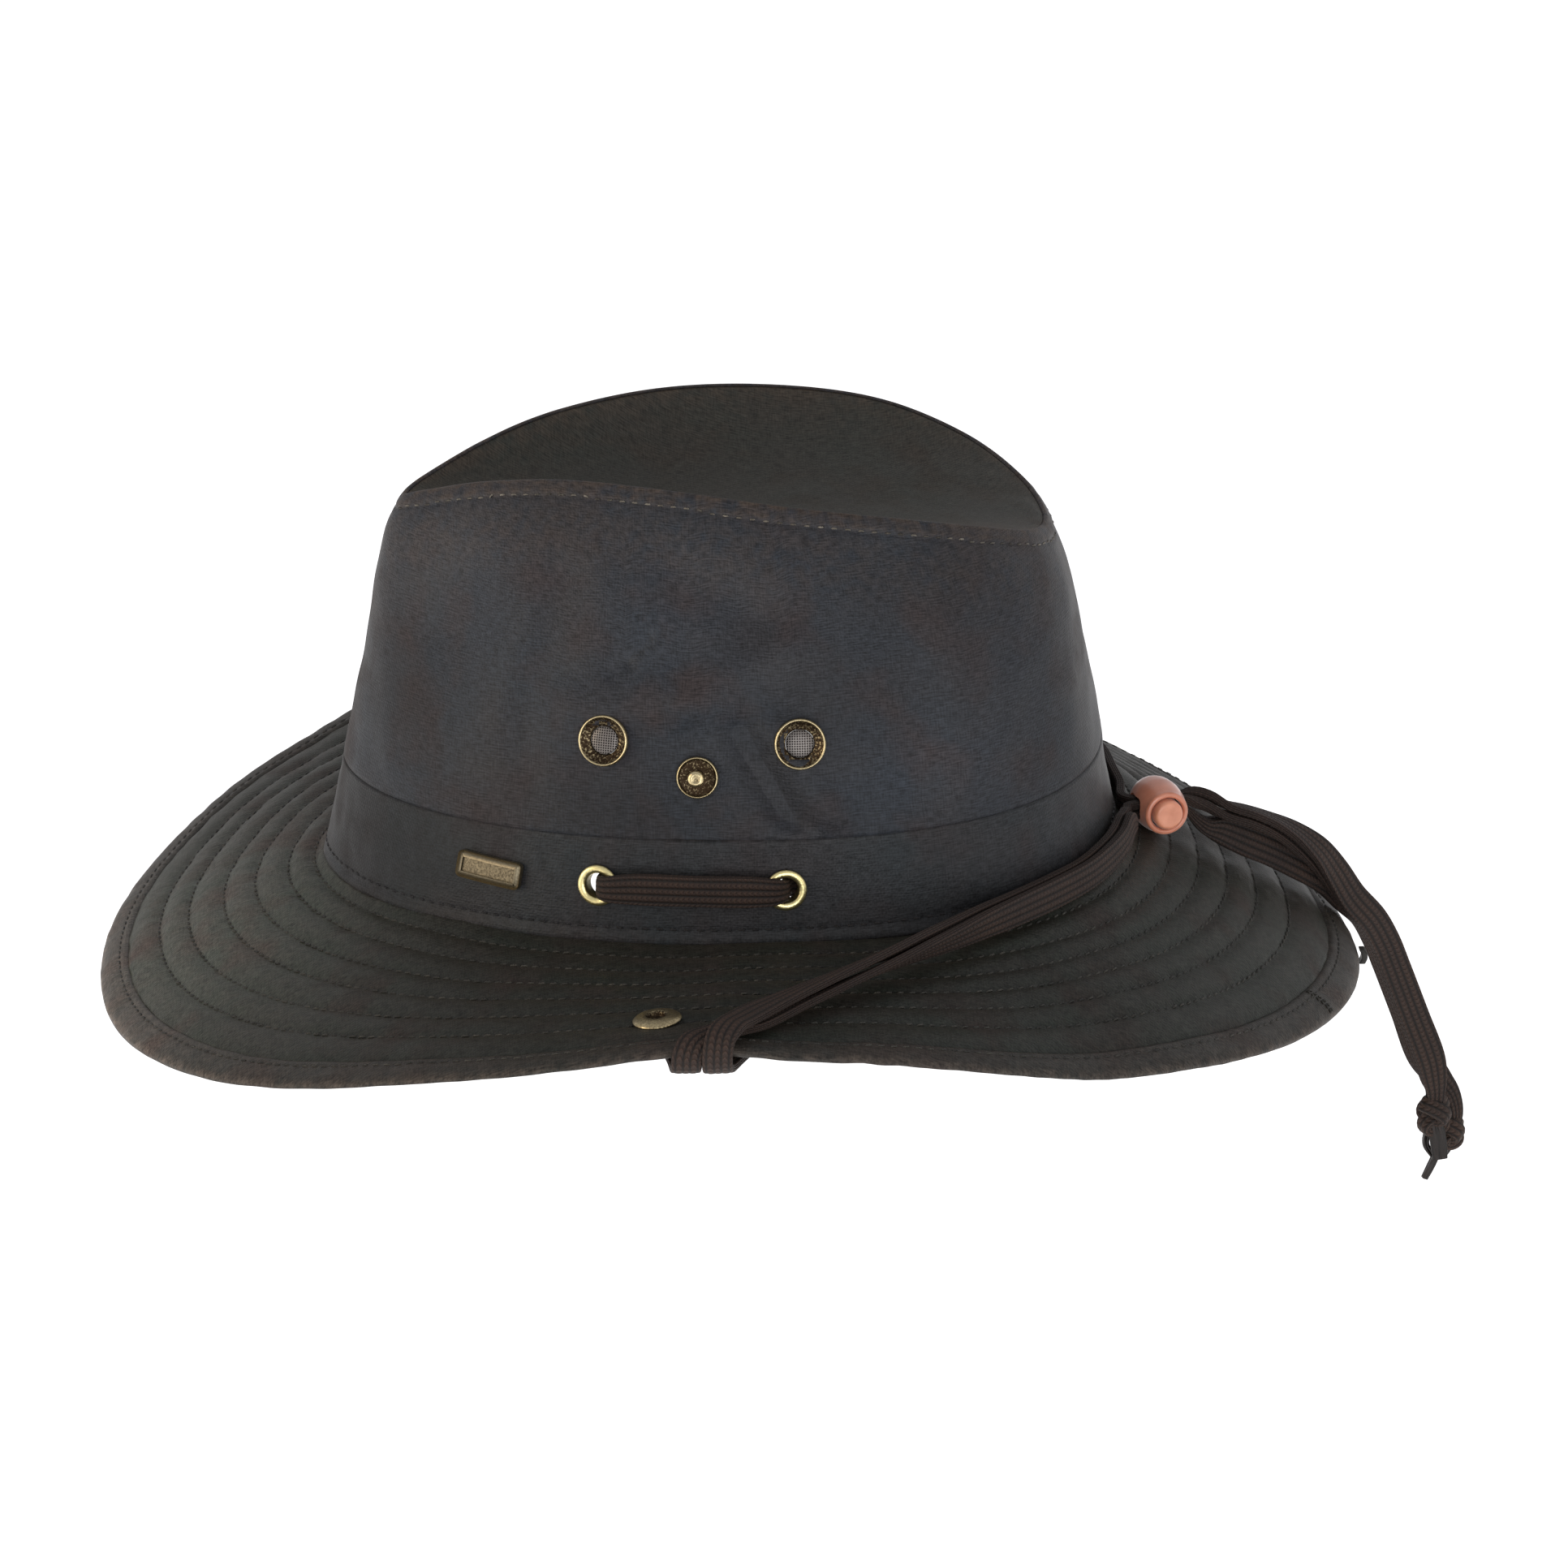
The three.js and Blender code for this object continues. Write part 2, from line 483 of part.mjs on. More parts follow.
// A frame whose Z axis is the outward normal of the surface at a place
function frameOn(surface, angle, along) {
  const out = outwardNormal(surface, angle, along);
  const level = UP.clone().cross(out);
  if (level.length() < 0.2) level.set(1, 0, 0).addScaledVector(out, -out.x);
  level.normalize();
  const rise = out.clone().cross(level);
  const matrix = new THREE.Matrix4().makeBasis(level, rise, out);
  return matrix.setPosition(surface(angle, along));
}

function frameAt(surface, spot, side) {
  const { angle, up } = settle(surface, spot.x, spot.z, side);
  return frameOn(surface, angle, up);
}

function punch(radius, frame) {
  const tool = new THREE.CylinderGeometry(radius, radius, 16, 12);
  tool.rotateX(Math.PI / 2);
  const closed = closedCopy(tool);
  closed.applyMatrix4(frame);
  return closed;
}

const hat = new THREE.Group();
hat.name = 'oilskin_hat';

function add(name, geometry, finish, frame) {
  const mesh = new THREE.Mesh(geometry, FINISHES[finish]);
  mesh.name = name;
  if (frame) frame.decompose(mesh.position, mesh.quaternion, mesh.scale);
  hat.add(mesh);
  return mesh;
}

const SIDES = [{ name: 'near', side: -1 }, { name: 'far', side: 1 }];

// Crown

function keptOnSide(point, side) {
  point.y = side > 0 ? Math.max(point.y, GAP / 1.5) : Math.min(point.y, -GAP / 1.5);
  return point;
}

function crownPanel(side) {
  const columns = FACETS / 2;
  const ups = [0, 0.15, 0.32, 0.49, 0.65, 0.79, 0.91, 1];
  const angleOf = (i) => side * Math.PI * (i / columns);
  const outer = (i, j) => keptOnSide(crownSide(angleOf(i), ups[j]), side);
  const inner = (i, j) => keptOnSide(offset(crownSide, angleOf(i), ups[j], -CLOTH), side);
  return sheet(outer, inner, columns, ups.length - 1, false);
}

// The ridge drawn in by the width of the turned seam, on the far side of the hat
function tipEdge(turn) {
  const step = 1e-3;
  const along = ridge(turn + step).sub(ridge(turn - step));
  const inward = new THREE.Vector3(-along.y, along.x, 0).normalize();
  const edge = ridge(turn).addScaledVector(inward, TIP_INSET);
  edge.y = Math.max(edge.y, 0);
  return edge;
}

function crownTip() {
  const columns = FACETS / 2;
  const rows = 8;
  const upper = (i, j) => {
    const turn = Math.PI * (i / columns);
    const across = -1 + (2 * j) / rows;
    const edge = tipEdge(turn);
    const dent = ridgeValue('dent', turn, 1) * (1 - Math.abs(across) ** 2.4);
    return new THREE.Vector3(edge.x, edge.y * across, edge.z - 0.3 - dent);
  };
  const lower = (i, j) => upper(i, j).addScaledVector(UP, -CLOTH);
  return sheet(upper, lower, columns, rows, false);
}

function crownBand() {
  const ups = [0.022, 0.5, 0.96];
  const angleOf = (i) => 2 * Math.PI * (i / FACETS);
  const outer = (i, j) => bandSide(angleOf(i), ups[j]);
  const inner = (i, j) => {
    const level = outwardNormal(bandSide, angleOf(i), ups[j]).setZ(0).normalize();
    return outer(i, j).addScaledVector(level, -CLOTH);
  };
  return sheet(outer, inner, FACETS, ups.length - 1, true);
}

for (const { name, side } of SIDES) {
  const holes = Object.values(VENTS).map((spot) => punch(VENT_HOLE, frameAt(crownSide, spot, side)));
  add(`crown_side_${name}`, cut(crownPanel(side), holes), 'cloth');
}
add('crown_tip', crownTip(), 'tip');
const laceHoles = SIDES.flatMap(({ side }) => (
  Object.values(GROMMETS).map((spot) => punch(GROMMET_HOLE, frameAt(bandSide, spot, side)))
));
add('crown_band', cut(crownBand(), laceHoles), 'cloth');

// Brim

function brimSheet(rows) {
  const angleOf = (i) => 2 * Math.PI * (i / FACETS);
  const face = (share) => (i, j) => {
    const { out, thickness } = rows[j];
    const lift = share * thickness - BRIM_THICKNESS / 2;
    return offset(brimTop, angleOf(i), out, lift, -1);
  };
  return sheet(face(0.5), face(-0.5), FACETS, rows.length - 1, true);
}

const BRIM_WIDTH = 67;
const facingFrom = 1 - RIM_FACING / BRIM_WIDTH;
const bodyRows = [-0.035, 0, 0.15, 0.33, 0.52, 0.7, facingFrom].map((out) => (
  { out, thickness: BRIM_THICKNESS }
));
const facingRows = [
  { out: facingFrom + 0.4 / BRIM_WIDTH, thickness: 3.0 },
  { out: 0.94, thickness: 3.0 },
  { out: 0.98, thickness: 2.5 },
  { out: 1, thickness: 1.1 },
];
add('brim', brimSheet(bodyRows), 'brim');
add('brim_edge', brimSheet(facingRows), 'brim');

function backTab() {
  const fold = new THREE.Shape();
  fold.moveTo(0, -1.8);
  fold.lineTo(1.6, -1.7);
  fold.lineTo(2.0, 0.3);
  fold.lineTo(1.5, 1.8);
  fold.lineTo(0, 2.0);
  fold.closePath();
  const tab = new THREE.ExtrudeGeometry(fold, { depth: 3.4, bevelEnabled: false });
  tab.translate(0, 0, -1.7);
  return closedCopy(tab);
}

const tabFrame = new THREE.Matrix4().makeRotationX(Math.PI / 2);
tabFrame.setPosition(oval(RIM, -1.7 * DEG).add(new THREE.Vector3(0.1, 0, -1.5)));
add('brim_back_tab', backTab(), 'brim', tabFrame);

// Metal parts

for (const { name, side } of SIDES) {
  for (const [place, spot] of Object.entries(VENTS)) {
    const frame = frameAt(crownSide, spot, side);
    add(`vent_rim_${name}_${place}`, turned(VENT_PROFILE, 12), 'brass', frame);
    add(`vent_mesh_${name}_${place}`, turned(MESH_PROFILE, 12), 'mesh', frame);
  }
  for (const [place, spot] of Object.entries(GROMMETS)) {
    add(`cord_grommet_${name}_${place}`, turned(GROMMET_PROFILE, 12), 'brass', frameAt(bandSide, spot, side));
  }
  add(`snap_stud_${name}`, turned(STUD_PROFILE, 12), 'brass', frameAt(crownSide, STUD, side));
  const snapAngle = side < 0 ? BRIM_SNAP.angle * DEG : -BRIM_SNAP.angle * DEG;
  const snapFrame = frameOn(brimTop, snapAngle, BRIM_SNAP.out);
  snapFrame.multiply(new THREE.Matrix4().makeRotationX(Math.PI));
  add(`brim_snap_${name}`, turned(SNAP_PROFILE, 12), 'brass', snapFrame);
}

function badgePlate() {
  const from = settle(bandSide, BADGE.fromX, BADGE.z, -1);
  const to = settle(bandSide, BADGE.toX, BADGE.z, -1);
  const columns = 6;
  const tall = BADGE.height / 27.3;
  const corner = [0.86, 1, 1, 1, 1, 1, 0.86];
  const face = (lift) => (i, j) => {
    const angle = THREE.MathUtils.lerp(from.angle, to.angle, i / columns);
    const middle = THREE.MathUtils.lerp(from.up, to.up, i / columns);
    return offset(bandSide, angle, middle + tall * (j / 2 - 0.5) * corner[i], lift);
  };
  return sheet(face(0.5 + BADGE.thickness), face(0.5), columns, 2, false);
}
add('badge_plate', badgePlate(), 'brass');

// Chin cord

// A flat braid swept along a route, its wide side square to the way that it faces
function strand(route, leaning) {
  const points = route.map((row) => new THREE.Vector3(...row.at));
  const centre = new THREE.CatmullRomCurve3(points, false, 'centripetal');
  const section = [[0.5, 0], [0.36, 0.5], [-0.36, 0.5], [-0.5, 0], [-0.36, -0.5], [0.36, -0.5]];
  const vertices = [];
  const last = route.length - 1;
  route.forEach((row, i) => {
    const along = centre.getTangent(i / last).normalize();
    const face = new THREE.Vector3(...row.face);
    face.addScaledVector(along, -face.dot(along)).normalize();
    const wide = along.clone().cross(face);
    const { width = CORD.width, thickness = CORD.thickness, shift = 0 } = row;
    for (const [w, t] of section) {
      const point = points[i].clone().addScaledVector(wide, w * width);
      point.addScaledVector(face, t * thickness + shift);
      vertices.push(...point.toArray());
    }
  });
  const n = section.length;
  const triangles = [];
  for (let i = 0; i < last; i += 1) {
    for (let k = 0; k < n; k += 1) {
      const [a, b] = [i * n + k, i * n + ((k + 1) % n)];
      if (leaning) triangles.push(a, b, b + n, a, b + n, a + n);
      else triangles.push(a, b, a + n, b, b + n, a + n);
    }
  }
  const end = last * n;
  for (let k = 1; k < n - 1; k += 1) triangles.push(0, k + 1, k, end, end + k, end + k + 1);
  return solidFrom(vertices, triangles);
}

function mirrored(rows) {
  const flip = ([x, y, z]) => [x, -y, z];
  return rows.map((row) => ({ ...row, at: flip(row.at), face: flip(row.face) }));
}

// One strand of several: it lies some layers away from the shared route
function layered(rows, layers, layer) {
  return rows.map((row) => ({ ...row, shift: layers * (row.spread ?? layer) }));
}

// The same strand with its flat side's other face named, so that it isn't turned over on its way
function turnedOver(rows) {
  return rows.map((row) => ({ ...row, face: row.face.map((n) => -n), shift: -row.shift }));
}

function cordRoute(side, isTop) {
  const sided = (rows) => (side > 0 ? mirrored(rows) : rows);
  const below = isTop ? TOP_STRAND_BELOW : [...LACING, ...UNDER_STRAND_BELOW];
  const shared = side > 0 ? ALONG_BRIM.slice(0, -FAR_ROWS_OF_THEIR_OWN) : ALONG_BRIM;
  const onBrim = layered(shared, isTop ? 1 : -1, CORD.layer);
  const into = side > 0 ? [INTO_LOCK.farUnder, INTO_LOCK.farTop] : [INTO_LOCK.nearUnder, INTO_LOCK.nearTop];
  const hanging = isTop ? layered(HANGING, side + 2, CORD.tailLayer)
    : turnedOver(layered(HANGING, -side - 2, CORD.tailLayer));
  const tail = [
    ...layered(isTop ? UPPER_PAIR : LOWER_PAIR, side, CORD.tailLayer),
    ...hanging,
    ...layered(isTop ? UPPER_END : LOWER_END, side, CORD.tailLayer),
  ];
  return [...sided([...below, ...onBrim]), ...into[isTop ? 1 : 0], ...(side > 0 ? turnedOver(tail) : tail)];
}

for (const { name, side } of SIDES) {
  add(`cord_${name}_top`, strand(cordRoute(side, true), side < 0), 'cord');
  add(`cord_${name}_under`, strand(cordRoute(side, false), side < 0), 'cord');
}

function knot({ at, size }) {
  const lump = new THREE.SphereGeometry(1, 12, 8);
  lump.scale(...size);
  lump.translate(...at);
  return closedCopy(lump);
}

function cordEnd({ from, to, size }) {
  const [start, end] = [new THREE.Vector3(...from), new THREE.Vector3(...to)];
  const stub = new THREE.CylinderGeometry(0.5, 0.5, start.distanceTo(end), 8);
  stub.scale(size[0], 1, size[1]);
  const along = end.clone().sub(start).normalize();
  stub.applyQuaternion(new THREE.Quaternion().setFromUnitVectors(new THREE.Vector3(0, 1, 0), along));
  stub.translate(...start.lerp(end, 0.5).toArray());
  return closedCopy(stub);
}

function knotWithEnds() {
  let fused = toManifold(knot(KNOTS.inner));
  for (const end of CORD_ENDS) fused = fused.add(toManifold(cordEnd(end)));
  return fromManifold(fused);
}
add('knot_inner', knotWithEnds(), 'cord');
add('knot_outer', knot(KNOTS.outer), 'cord');

// Cord lock: the barrel's closed end points away from the near side, and the plunger slides in it

function windowed(profile, segments, window) {
  const body = turned(profile, segments);
  const slot = new THREE.BoxGeometry(20, window.height, window.to - window.from);
  slot.translate(0, 0, (window.from + window.to) / 2);
  return cut(body, [closedCopy(slot)]);
}

const lock = new THREE.Matrix4().makeRotationZ(TOGGLE.turn);
lock.multiply(new THREE.Matrix4().makeRotationX(Math.PI / 2));
lock.setPosition(new THREE.Vector3(...TOGGLE.at));
add('toggle_barrel', windowed(BARREL_PROFILE, 16, BARREL_WINDOW), 'toggle', lock);
add('toggle_plunger', windowed(PLUNGER_PROFILE, 16, PLUNGER_WINDOW), 'toggle', lock);

export default hat;
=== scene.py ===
"""The looks of an oilskin hat: waxed cotton sewn over its CAD frame, with metal fittings and a chin cord.

The hat's front is at -X and the wearer's left side, the side of the photograph, at -Y. Shapes are worked
out in millimetres and become metres when a mesh is made. Angles run round the hat from its back.
"""

import logging
import math
from collections.abc import Callable, Iterator, Sequence
from contextlib import contextmanager
from dataclasses import dataclass
from enum import Enum
from functools import cached_property

import bpy
import numpy as np
from mathutils import Matrix, Vector

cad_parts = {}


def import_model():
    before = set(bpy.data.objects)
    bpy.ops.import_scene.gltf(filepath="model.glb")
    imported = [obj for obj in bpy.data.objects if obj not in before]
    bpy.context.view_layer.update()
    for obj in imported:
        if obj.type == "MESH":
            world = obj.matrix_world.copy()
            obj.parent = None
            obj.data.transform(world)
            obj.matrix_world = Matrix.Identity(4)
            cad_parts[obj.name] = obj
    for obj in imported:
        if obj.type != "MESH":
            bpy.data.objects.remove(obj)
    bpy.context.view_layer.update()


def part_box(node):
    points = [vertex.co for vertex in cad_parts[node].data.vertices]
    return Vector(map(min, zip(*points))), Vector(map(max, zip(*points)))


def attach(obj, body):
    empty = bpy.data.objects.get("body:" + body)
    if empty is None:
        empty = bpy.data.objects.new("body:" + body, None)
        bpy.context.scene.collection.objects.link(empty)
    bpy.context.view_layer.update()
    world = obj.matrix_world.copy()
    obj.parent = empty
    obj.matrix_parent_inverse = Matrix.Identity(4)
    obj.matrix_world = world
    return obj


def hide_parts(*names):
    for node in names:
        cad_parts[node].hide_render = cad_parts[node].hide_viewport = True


LOG = logging.getLogger("oilskin_hat")
MM = 0.001
TURN = 2 * math.pi
CLOTH_MAP = "cloth_mm"
WEAR = "wear"
PAINTED_LIGHT = "painted_light"
Points = np.ndarray
Surface = Callable[[Points, Points], Points]
Place = tuple[float, float, float]
Piece = bpy.types.Object
Material = bpy.types.Material
Socket = bpy.types.NodeSocket


class Side(Enum):
    """The two sides of the hat, by the sign of their Y."""

    NEAR = -1
    FAR = 1

    @property
    def word(self) -> str:
        """The side's name in the frame's nodes."""
        return self.name.lower()


# Materials


def linear(code: str) -> tuple[float, float, float, float]:
    """Turns an sRGB hex colour, such as "#3a3e42", to the linear values that Blender wants."""
    parts = [int(code[i:i + 2], 16) / 255 for i in (1, 3, 5)]
    red, green, blue = (p / 12.92 if p <= 0.04045 else ((p + 0.055) / 1.055) ** 2.4 for p in parts)
    return red, green, blue, 1.0


def add_node(tree: bpy.types.NodeTree, kind: str, settings: dict | None = None,
             links: dict | None = None) -> bpy.types.Node:
    """Adds a shader node.

    Args:
        tree: The material's node tree.
        kind: The node's type without its "ShaderNode" start.
        settings: Values by the name of a property, or by the name or number of an input.
        links: Output sockets by the name or number of the input that they feed.
    """
    node = tree.nodes.new("ShaderNode" + kind)
    for key, value in (settings or {}).items():
        if isinstance(key, str) and hasattr(node, key):
            setattr(node, key, value)
        else:
            node.inputs[key].default_value = value
    for key, socket in (links or {}).items():
        tree.links.new(socket, node.inputs[key])
    return node


class Pattern:
    """A new Principled material and the nodes that feed its shader.

    Args:
        title: The material's name.
    """

    def __init__(self, title: str) -> None:
        """Makes the material with its shader alone."""
        self.material = bpy.data.materials.new(title)
        self.material.use_nodes = True
        self.tree = self.material.node_tree
        self.shader = self.tree.nodes["Principled BSDF"]

    def node(self, kind: str, settings: dict | None = None, links: dict | None = None,
             output: int | str = 0) -> Socket:
        """Adds a node and gives one of its outputs."""
        return add_node(self.tree, kind, settings, links).outputs[output]

    def calc(self, operation: str, *values: float | Socket, clamp: bool = False) -> Socket:
        """Works something out from numbers and sockets."""
        sockets = {key: value for key, value in enumerate(values) if isinstance(value, Socket)}
        numbers = {key: value for key, value in enumerate(values) if key not in sockets}
        return self.node("Math", {"operation": operation, "use_clamp": clamp, **numbers}, sockets)

    def ranged(self, value: Socket, low: float, high: float, to_low: float = 0.0,
               to_high: float = 1.0) -> Socket:
        """Stretches the values from low to high to another range."""
        ends = {"From Min": low, "From Max": high, "To Min": to_low, "To Max": to_high}
        return self.node("MapRange", ends, {"Value": value})

    @cached_property
    def place(self) -> Socket:
        """The object coordinates in millimetres."""
        coordinates = self.node("TexCoord", output="Object")
        return self.node("VectorMath", {"operation": "SCALE", "Scale": 1 / MM}, {0: coordinates})

    @cached_property
    def cloth_map(self) -> Socket:
        """The piece's own UV map, in millimetres or ribs."""
        return self.node("UVMap", {"uv_map": CLOTH_MAP})

    def axes(self, along: Socket) -> tuple[Socket, Socket]:
        """Gives the X and Y of some coordinates."""
        split = add_node(self.tree, "SeparateXYZ", links={0: along})
        return split.outputs["X"], split.outputs["Y"]

    def mark(self, name: str) -> Socket:
        """Gives an attribute of the mesh."""
        return self.node("Attribute", {"attribute_name": name}, output="Fac")

    def noise(self, along: Socket, size: float, detail: float = 2.0) -> Socket:
        """Gives smooth noise whose lumps have a size."""
        return self.node("TexNoise", {"Scale": 1 / size, "Detail": detail}, {"Vector": along}, "Fac")

    def blotches(self, size: float, low: float, high: float, detail: float = 2.0) -> Socket:
        """Gives soft random patches from 0 to 1.

        Args:
            size: The size of a patch in millimetres.
            low: The noise value that becomes 0.
            high: The noise value that becomes 1.
            detail: How many finer layers the noise has.
        """
        return self.ranged(self.noise(self.place, size, detail), low, high)

    def mixed(self, share: Socket, under: Socket | str, over: Socket | str) -> Socket:
        """Mixes two colours, each a hex code or a socket, by a share from 0 to 1."""
        node = add_node(self.tree, "Mix", {"data_type": "RGBA"}, {0: share})
        for key, colour in ((6, under), (7, over)):
            if isinstance(colour, str):
                node.inputs[key].default_value = linear(colour)
            else:
                self.tree.links.new(colour, node.inputs[key])
        return node.outputs[2]

    def added(self, *terms: tuple[Socket, float]) -> Socket:
        """Adds up sockets, each times a number."""
        total = 0.0
        for socket, share in terms:
            total = self.calc("MULTIPLY_ADD", socket, share, total)
        return total

    def bump(self, *terms: tuple[Socket, float]) -> Socket:
        """Gives the normal of a relief, from sockets and their heights in millimetres."""
        return self.node("Bump", {"Strength": 1.0, "Distance": MM}, {"Height": self.added(*terms)})

    def dressed(self, values: dict[str, float | str | Socket]) -> Material:
        """Sets the shader's inputs to numbers or hex colours, or links them, and gives the material."""
        for name, value in values.items():
            if isinstance(value, Socket):
                self.tree.links.new(value, self.shader.inputs[name])
            else:
                self.shader.inputs[name].default_value = linear(value) if isinstance(value, str) else value
        return self.material


@dataclass(frozen=True)
class Finish:
    """A surface finish: a Principled material with its own pattern.

    Args:
        title: The material's name.
        roughness: The mean roughness.
    """

    title: str
    roughness: float = 0.5


class WeaveLay(Enum):
    """How a cloth's threads lie: square to the hat in plan, or along the piece's own UV map."""

    PLAN = "plan"
    ROUND = "round"


@dataclass(frozen=True)
class WaxedCotton(Finish):
    """Oilskin: a plain weave of fine cotton filled with wax, which gives a low, soft shine. Handling rubs
    the wax thin in patches and along edges, where the brown of the cloth shows.

    Args:
        body: The colour of the cloth.
        cool: Where the wax lies thick.
        warm: Where the wax is rubbed thin.
        worn: The seams' raised edges.
        lay: How the threads lie.
        thread: The thread spacing in millimetres, drawn coarser than the real 0.3 so that it shows.
        slub: How much longer than wide the uneven threads are, by the stretch along and across them.
        gloss: The strength of the wax's shine.
        patch: The size of the thick and thin patches of wax.
        rub: The size of the rubbed patches.
        depths: How deep the weave, the uneven threads and the creases are.
    """

    body: str = "#2a2a29"
    cool: str = "#20292e"
    warm: str = "#352d29"
    worn: str = "#5b5048"
    lay: WeaveLay = WeaveLay.ROUND
    thread: float = 0.62
    slub: tuple[float, float] = (0.35, 2.6)
    gloss: float = 0.2
    patch: float = 26.0
    rub: float = 17.0
    depths: Place = (0.02, 0.2, 0.16)

    def material(self) -> Material:
        """Makes the cloth's material."""
        made = Pattern(self.title)
        along = made.cloth_map if self.lay is WeaveLay.ROUND else made.place
        waves = [made.calc("SINE", made.calc("MULTIPLY", axis, math.pi / self.thread))
                 for axis in made.axes(along)]
        weave = made.calc("MULTIPLY", *waves)
        slubs = []
        for scale in ((*self.slub, 1.0), (*self.slub[::-1], 1.0)):
            stretched = made.node("VectorMath", {"operation": "MULTIPLY", 1: scale}, {0: along})
            slubs.append(made.noise(stretched, 1.0))
        threads = made.added((slubs[0], 0.62), (slubs[1], 0.38))
        rubbed = made.blotches(self.rub, 0.5, 0.72, 4.0)
        colour = made.mixed(made.blotches(self.patch, 0.35, 0.65, 4.0), self.cool, self.body)
        colour = made.mixed(rubbed, colour, self.warm)
        patchy = made.calc("MULTIPLY", made.mark(WEAR), made.blotches(3.0, 0.3, 0.6, 3.0), clamp=True)
        colour = made.mixed(patchy, colour, self.worn)
        grain = made.ranged(threads, 0.36, 0.64, 0.5, 1.55)
        # Painted light and shade: the grain's shade is scaled by one plus the painted light mark, which draws
        # broad patches paler or darker.
        paler = made.calc("MULTIPLY_ADD", made.mark(PAINTED_LIGHT), grain, grain)
        creases = made.blotches(7.0, 0.0, 1.0)
        return made.dressed({
            "Base Color": made.node("VectorMath", {"operation": "SCALE"}, {0: colour, "Scale": paler}),
            "Roughness": made.ranged(rubbed, 0.0, 1.0, self.roughness - 0.06, self.roughness + 0.1),
            "Normal": made.bump(*zip((weave, threads, creases), self.depths)),
            "Specular IOR Level": self.gloss, "Sheen Weight": 0.06, "Sheen Roughness": 0.45,
            "Sheen Tint": "#b8a590"})


@dataclass(frozen=True)
class SewingThread(Finish):
    """Waxed polyester thread, twisted, a little lighter than the cloth and dulled by wax.

    Args:
        body: The thread's colour.
        dirt: The colour in its dirty stretches.
        twist: The size of the twist's lumps in millimetres.
    """

    body: str = "#4b4640"
    dirt: str = "#2b2724"
    twist: float = 0.3

    def material(self) -> Material:
        """Makes the thread's material."""
        made = Pattern(self.title)
        stained = made.blotches(9.0, 0.35, 0.6, 3.0)
        return made.dressed({
            "Base Color": made.mixed(stained, self.body, self.dirt), "Roughness": self.roughness,
            "Normal": made.bump((made.blotches(self.twist, 0.0, 1.0), 1.0))})


@dataclass(frozen=True)
class AntiqueBrass(Finish):
    """Brass plating, darkened by a patina that is buffed off the raised parts, so rims shine and
    recesses stay brown.

    Args:
        bright: The buffed metal.
        dark: The patina in the recesses.
        spot: The size of the patina's spots in millimetres.
    """

    bright: str = "#d0bf96"
    dark: str = "#382d22"
    spot: float = 0.5

    def material(self) -> Material:
        """Makes the plated metal's material."""
        made = Pattern(self.title)
        recess = made.mark(WEAR)
        spots = made.blotches(self.spot, 0.35, 0.65, 3.0)
        worn = made.added((recess, 0.7), (spots, 0.1))
        share = made.calc("MULTIPLY_ADD", recess, spots, worn, clamp=True)
        return made.dressed({
            "Base Color": made.mixed(share, self.bright, self.dark), "Metallic": 1.0,
            "Roughness": made.ranged(share, 0.0, 1.0, self.roughness, self.roughness + 0.25),
            "Normal": made.bump((spots, 0.02))})


@dataclass(frozen=True)
class WireGauze(Finish):
    """Fine steel wire gauze, woven square, dull grey, with painted shade between the wires for the dark seen
    through its holes. Its wires are drawn coarser than the real 0.4 mm pitch so that they show.

    Args:
        wire: The wires' colour.
        gap_shade: The painted shade between the wires, for the dark seen through the holes.
        pitch: The distance between two wires in millimetres.
        depth: How far the wires stand out in millimetres.
    """

    wire: str = "#7f7a77"
    gap_shade: str = "#24211f"
    pitch: float = 0.62
    depth: float = 0.1

    def material(self) -> Material:
        """Makes the gauze's material."""
        made = Pattern(self.title)
        waves = [made.calc("ABSOLUTE", made.calc("SINE", made.calc("MULTIPLY", axis, math.pi / self.pitch)))
                 for axis in made.axes(made.cloth_map)]
        share = made.ranged(made.calc("MAXIMUM", *waves), 0.68, 0.92)
        # Painted shade: the gaps between the wires are drawn dark for the inside of the hat seen through
        # them.
        return made.dressed({
            "Base Color": made.mixed(share, self.gap_shade, self.wire), "Metallic": 0.7,
            "Roughness": self.roughness, "Normal": made.bump((share, self.depth))})


@dataclass(frozen=True)
class FlatBraid(Finish):
    """A flat braid of brown polyester yarn over parallel core strands. Each strand shows as a rib with
    small slanting stitches, and painted shade draws the grooves between them nearly black.

    Args:
        yarn: The yarn's lit colour.
        tone_shift: Its colour in darker stretches.
        groove: The painted shade in the grooves.
        plait: The length of one stitch in millimetres.
    """

    yarn: str = "#3d2d25"
    tone_shift: str = "#2e2421"
    groove: str = "#0e0b0a"
    plait: float = 1.3

    def material(self) -> Material:
        """Makes the braid's material; its UV map holds millimetres along and ribs across."""
        made = Pattern(self.title)
        along, across = made.axes(made.cloth_map)
        away = made.calc("ABSOLUTE", made.calc("SUBTRACT", made.calc("FRACT", across), 0.5))
        slant = made.calc("MULTIPLY_ADD", along, 1 / self.plait, away)
        stitch = made.ranged(made.calc("SINE", made.calc("MULTIPLY", slant, TURN)), -0.6, 0.7)
        crest = made.ranged(away, 0.48, 0.2)
        relief = made.calc("MULTIPLY", stitch, crest)
        yarn = made.mixed(made.blotches(12.0, 0.3, 0.8, 4.0), self.yarn, self.tone_shift)
        # Painted shade: the grooves and the stitches' edges are drawn dark and the ribs' crests lit.
        lit = made.added((relief, 0.36), (crest, 0.64))
        return made.dressed({
            "Base Color": made.mixed(lit, self.groove, yarn), "Roughness": self.roughness,
            "Normal": made.bump((relief, 0.22), (crest, 0.12)),
            "Specular IOR Level": 0.3, "Sheen Weight": 0.06, "Sheen Tint": "#8f7a6c"})


